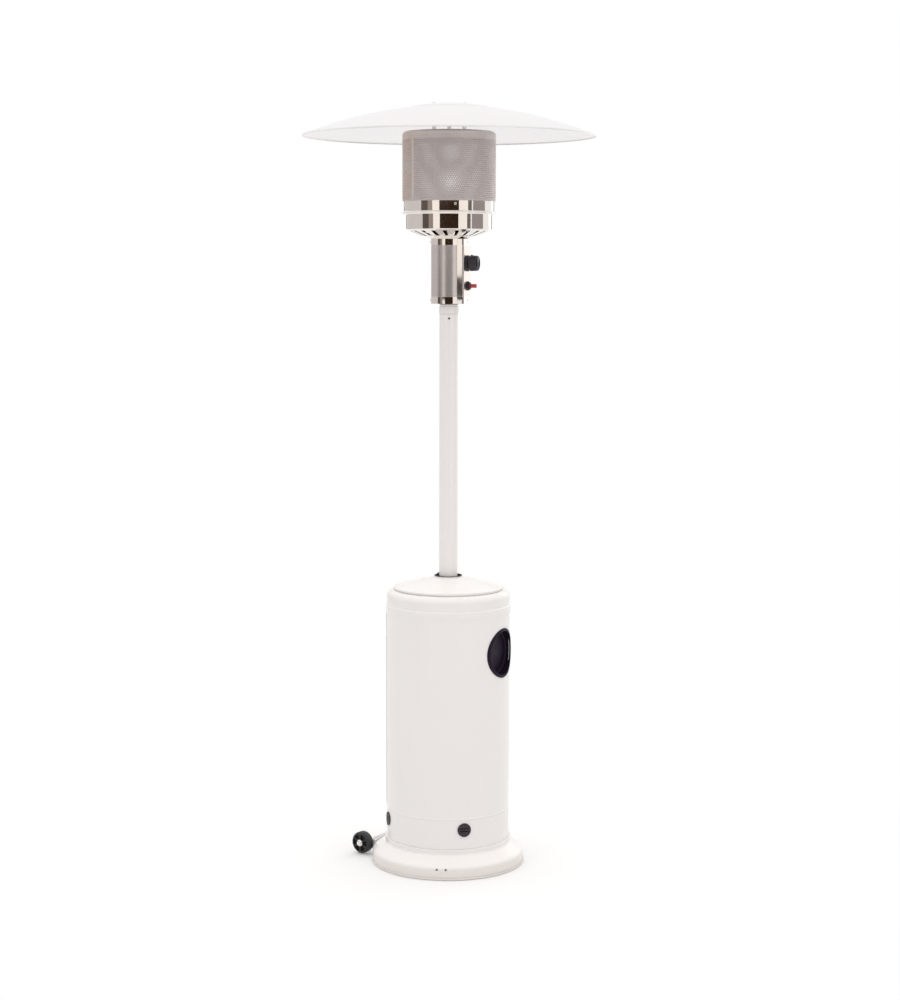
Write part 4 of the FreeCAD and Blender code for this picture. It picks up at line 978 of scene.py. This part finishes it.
def reflector():
    """The spun dome: raised crown, small step, long even curve and a turned-down rim."""
    sizes = bpy.context.scene.heater_sizes
    inner = Vector((0.120, REFLECTOR_TOP - 0.011))
    middle = Vector((0.275, REFLECTOR_TOP - 0.041))
    outer = Vector((0.412, REFLECTOR_TOP - 0.086))
    ab = middle - inner
    ac = outer - inner
    cross = 2.0 * (ab.x * ac.y - ab.y * ac.x)
    centre = inner + Vector((ac.y * ab.length_squared - ab.y * ac.length_squared,
                             ab.x * ac.length_squared - ac.x * ab.length_squared)) / cross
    sweep = (inner - centre).angle(outer - centre)
    bm = outline([(0.0, REFLECTOR_TOP), (0.069, REFLECTOR_TOP, 0.010), (0.118, REFLECTOR_TOP - 0.009, 0.002),
                  (inner.x, inner.y)])
    start = min(bm.verts, key=lambda v: (v.co - Vector((inner.x, 0.0, inner.y))).length)
    arc = bmesh.ops.spin(bm, geom=[start], cent=(centre.x, 0.0, centre.y), axis=(0.0, 1.0, 0.0), angle=sweep,
                         steps=24, use_merge=False, use_duplicate=False)
    last = arc["geom_last"][0]
    for point in ((REFLECTOR_RADIUS - 0.0022, REFLECTOR_RIM + 0.0048),
                  (REFLECTOR_RADIUS, REFLECTOR_RIM + 0.0030), (REFLECTOR_RADIUS, REFLECTOR_RIM)):
        step = bm.verts.new((point[0], 0.0, point[1]))
        bm.edges.new((last, step))
        last = step
    bmesh.ops.remove_doubles(bm, verts=bm.verts, dist=1e-6)
    spin(bm, 240)
    thicken(bm, sizes.reflector_sheet)
    return finished("spun_reflector", bm, "stand", "Spun aluminium", ["reflector"], 50.0)


class HEATER_OT_reflector(bpy.types.Operator):
    """Spin the reflector"""
    bl_idname = "heater.reflector"
    bl_label = "Reflector"

    def execute(self, context):
        reflector()
        return {"FINISHED"}


class HEATER_OT_fittings(bpy.types.Operator):
    """Give the posts, pipes, valve and other fittings their finishes"""
    bl_idname = "heater.fittings"
    bl_label = "Fittings"

    def execute(self, context):
        finish_by_slot = {slot: name for name, slot in SLOT_OF.items()}
        for part in frame["record"]["subparts"]:
            node = frame["nodes"][part["node"]]
            node.data.materials.clear()
            finish = finish_by_slot[part["material_slot"]]
            if part["node"] in BRIGHT_FITTINGS:
                finish = "Spun aluminium"
            node.data.materials.append(finish_of(finish))
        return {"FINISHED"}


# Studio

def light_path(tree):
    """1 for rays from the camera, mirrors and glass, and 0 for light that falls on the object."""
    path = add_node(tree, "ShaderNodeLightPath").outputs
    total = path["Is Camera Ray"]
    for name in ("Is Glossy Ray", "Is Transmission Ray"):
        total = add_node(tree, "ShaderNodeMath", {0: total, 1: path[name]}, operation="MAXIMUM").outputs[0]
    return total


def studio_world(level, overhead):
    """Soft light from everywhere, stronger from above, behind a plain white background."""
    world = bpy.data.worlds.new("Studio")
    world.use_nodes = True
    tree = world.node_tree
    tree.nodes.clear()
    where = add_node(tree, "ShaderNodeTexCoord").outputs["Generated"]
    up = add_node(tree, "ShaderNodeSeparateXYZ", {"Vector": where}).outputs["Z"]
    rise = add_node(tree, "ShaderNodeMapRange", {"Value": up, "From Min": 0.35, "From Max": 0.85,
                                                 "To Min": level, "To Max": overhead}).outputs["Result"]
    soft = add_node(tree, "ShaderNodeBackground", {"Color": (1.0, 0.988, 0.975, 1.0), "Strength": rise})
    white = add_node(tree, "ShaderNodeBackground", {"Color": (1.0, 1.0, 1.0, 1.0), "Strength": 1.0})
    shaders = {0: light_path(tree), 1: soft.outputs[0], 2: white.outputs[0]}
    mix = add_node(tree, "ShaderNodeMixShader", shaders)
    add_node(tree, "ShaderNodeOutputWorld", {"Surface": mix.outputs[0]})
    bpy.context.scene.world = world


def bare_material(name):
    """A material whose node tree is still empty."""
    material = bpy.data.materials.new(name)
    material.use_nodes = True
    material.node_tree.nodes.clear()
    return material


def studio_floor():
    """A wide white floor that keeps the shadow near the heater and is plain white further off."""
    bm = bmesh.new()
    bmesh.ops.create_circle(bm, cap_ends=True, segments=96, radius=40.0)
    floor = as_object("studio_floor", bm)
    material = bare_material("Studio floor")
    tree = material.node_tree
    base = tuple(bpy.context.scene.heater_colours.floor)
    lit = add_node(tree, "ShaderNodeBsdfDiffuse", {"Color": (*base, 1.0)}).outputs[0]
    glow = add_node(tree, "ShaderNodeEmission", {"Strength": 0.145}).outputs[0]
    shadowed = add_node(tree, "ShaderNodeAddShader", {0: lit, 1: glow}).outputs[0]
    plain = add_node(tree, "ShaderNodeEmission", {"Strength": 1.0}).outputs[0]
    where = add_node(tree, "ShaderNodeTexCoord").outputs["Object"]
    reach = add_node(tree, "ShaderNodeVectorMath", {0: where}, operation="LENGTH").outputs["Value"]
    fade = add_node(tree, "ShaderNodeMapRange", {"Value": reach, "From Min": 0.5, "From Max": 1.6},
                    interpolation_type="SMOOTHSTEP").outputs["Result"]
    shown = add_node(tree, "ShaderNodeMixShader", {0: fade, 1: shadowed, 2: plain}).outputs[0]
    mix = add_node(tree, "ShaderNodeMixShader", {0: light_path(tree), 1: lit, 2: shown}).outputs[0]
    add_node(tree, "ShaderNodeOutputMaterial", {"Surface": mix})
    floor.data.materials.append(material)


def studio_card(name, azimuth, distance, width, height, low, tone):
    """A card that only mirrors see: it gives polished steel something to reflect."""
    bm = bmesh.new()
    bmesh.ops.create_grid(bm, x_segments=1, y_segments=1, size=0.5)
    bmesh.ops.scale(bm, vec=(height, width, 1.0), verts=bm.verts)
    place = facing(azimuth) @ Matrix.Translation((distance, 0.0, low + height / 2.0))
    place = place @ Matrix.Rotation(math.radians(-90.0), 4, "Y")
    moved(bm, place)
    card = as_object(name, bm)
    material = bare_material("Card " + name)
    glow = add_node(material.node_tree, "ShaderNodeEmission", {"Color": (*tone, 1.0)})
    add_node(material.node_tree, "ShaderNodeOutputMaterial", {"Surface": glow.outputs[0]})
    card.data.materials.append(material)
    card.visible_camera = False
    card.visible_diffuse = False
    card.visible_shadow = False


def studio_lamp(name, azimuth, distance, height, width, tall, watts):
    """A level softbox; the dim panel right behind it keeps the white backdrop from shining through."""
    studio_card(name + " panel", azimuth, distance + 0.02, width, tall, height - tall / 2.0,
                (0.15, 0.13, 0.11))
    data = bpy.data.lights.new(name, "AREA")
    data.shape = "RECTANGLE"
    data.size = width
    data.size_y = tall
    data.energy = watts
    data.color = (1.0, 0.955, 0.915)
    lamp = bpy.data.objects.new(name, data)
    bpy.context.scene.collection.objects.link(lamp)
    place = facing(azimuth) @ Vector((distance, 0.0, height))
    lamp.location = place
    lamp.rotation_euler = (Vector((0.0, 0.0, height)) - place).to_track_quat("-Z", "Y").to_euler()
    lamp.visible_camera = False


def studio_camera():
    """The camera: 6 m from the heater, 1.73 m up and looking 6.3 degrees down."""
    data = bpy.data.cameras.new("Camera")
    data.sensor_fit = "AUTO"
    data.sensor_width = 36.0
    data.lens = 74.5
    data.clip_end = 200.0
    camera = bpy.data.objects.new("Camera", data)
    bpy.context.scene.collection.objects.link(camera)
    tilt = Matrix.Rotation(math.radians(90.0 - 6.3), 4, "X")
    roll = Matrix.Rotation(math.radians(0.13), 4, "Z")
    camera.matrix_world = Matrix.Translation((0.0046, -5.991, 1.734)) @ tilt @ roll
    bpy.context.scene.camera = camera


# Name, azimuth, distance, width, height, height of its foot and tone
CARDS = (
    ("card_front", 0.0, 7.0, 6.5, 2.26, 0.0, (0.035, 0.019, 0.011)),
    ("card_flank", -36.0, 5.2, 2.2, 0.115, 1.59, (0.055, 0.045, 0.045)),
    ("card_dim", -48.5, 5.1, 1.3, 2.16, 0.0, (0.33, 0.28, 0.255)),
    ("card_left", -65.0, 5.0, 1.7, 2.16, 0.0, (0.11, 0.09, 0.08)),
    ("card_west", -114.0, 5.0, 8.1, 2.16, 0.0, (0.66, 0.635, 0.63)),
    ("card_corner", 54.0, 5.0, 0.9, 2.16, 0.0, (0.17, 0.15, 0.14)),
    ("card_right", 83.0, 5.2, 3.8, 2.16, 0.0, (0.33, 0.295, 0.295)),
    ("card_behind", 180.0, 5.0, 4.4, 0.20, 1.95, (0.30, 0.27, 0.26)),
)
# Name, azimuth, distance, height of its middle, width, height and power
LAMPS = (
    ("Left softbox", -33.5, 5.0, 2.81, 1.6, 2.2, 10.2),
    ("Right softbox", 38.0, 5.0, 2.25, 1.7, 2.5, 12.3),
    ("Back softbox", 144.0, 4.0, 1.9, 1.4, 1.8, 13.0),
)


class HEATER_OT_studio(bpy.types.Operator):
    """Set up the floor, soft light, cards and camera"""
    bl_idname = "heater.studio"
    bl_label = "Studio"

    def execute(self, context):
        context.scene.view_settings.view_transform = "Standard"
        studio_world(0.665, 1.69)
        studio_floor()
        for card in CARDS:
            studio_card(*card)
        for lamp in LAMPS:
            studio_lamp(*lamp)
        studio_camera()
        return {"FINISHED"}


class HEATER_PT_panel(bpy.types.Panel):
    """Lists the heater's pieces in the 3D view's sidebar."""
    bl_idname = "HEATER_PT_panel"
    bl_label = "Patio heater"
    bl_space_type = "VIEW_3D"
    bl_region_type = "UI"
    bl_category = "Heater"

    def draw(self, context):
        for operator in OPERATORS:
            self.layout.operator(operator.bl_idname, text=operator.bl_label)
        for group in (context.scene.heater_sizes, context.scene.heater_colours):
            box = self.layout.box()
            for name in group.__annotations__:
                box.prop(group, name)


OPERATORS = (
    HEATER_OT_fittings,
    HEATER_OT_base,
    HEATER_OT_wheels,
    HEATER_OT_housing,
    HEATER_OT_grips,
    HEATER_OT_pole,
    HEATER_OT_control_head,
    HEATER_OT_controls,
    HEATER_OT_burner,
    HEATER_OT_screen,
    HEATER_OT_reflector,
    HEATER_OT_studio,
)
CLASSES = (HeaterSizes, HeaterColours, *OPERATORS, HEATER_PT_panel)


def register():
    for cls in CLASSES:
        bpy.utils.register_class(cls)
    bpy.types.Scene.heater_sizes = bpy.props.PointerProperty(type=HeaterSizes)
    bpy.types.Scene.heater_colours = bpy.props.PointerProperty(type=HeaterColours)


def unregister():
    del bpy.types.Scene.heater_colours
    del bpy.types.Scene.heater_sizes
    for cls in reversed(CLASSES):
        bpy.utils.unregister_class(cls)


def main():
    register()
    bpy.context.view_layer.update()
    for operator in OPERATORS:
        group, name = operator.bl_idname.split(".")
        getattr(getattr(bpy.ops, group), name)()


if __name__ == "__main__":
    main()
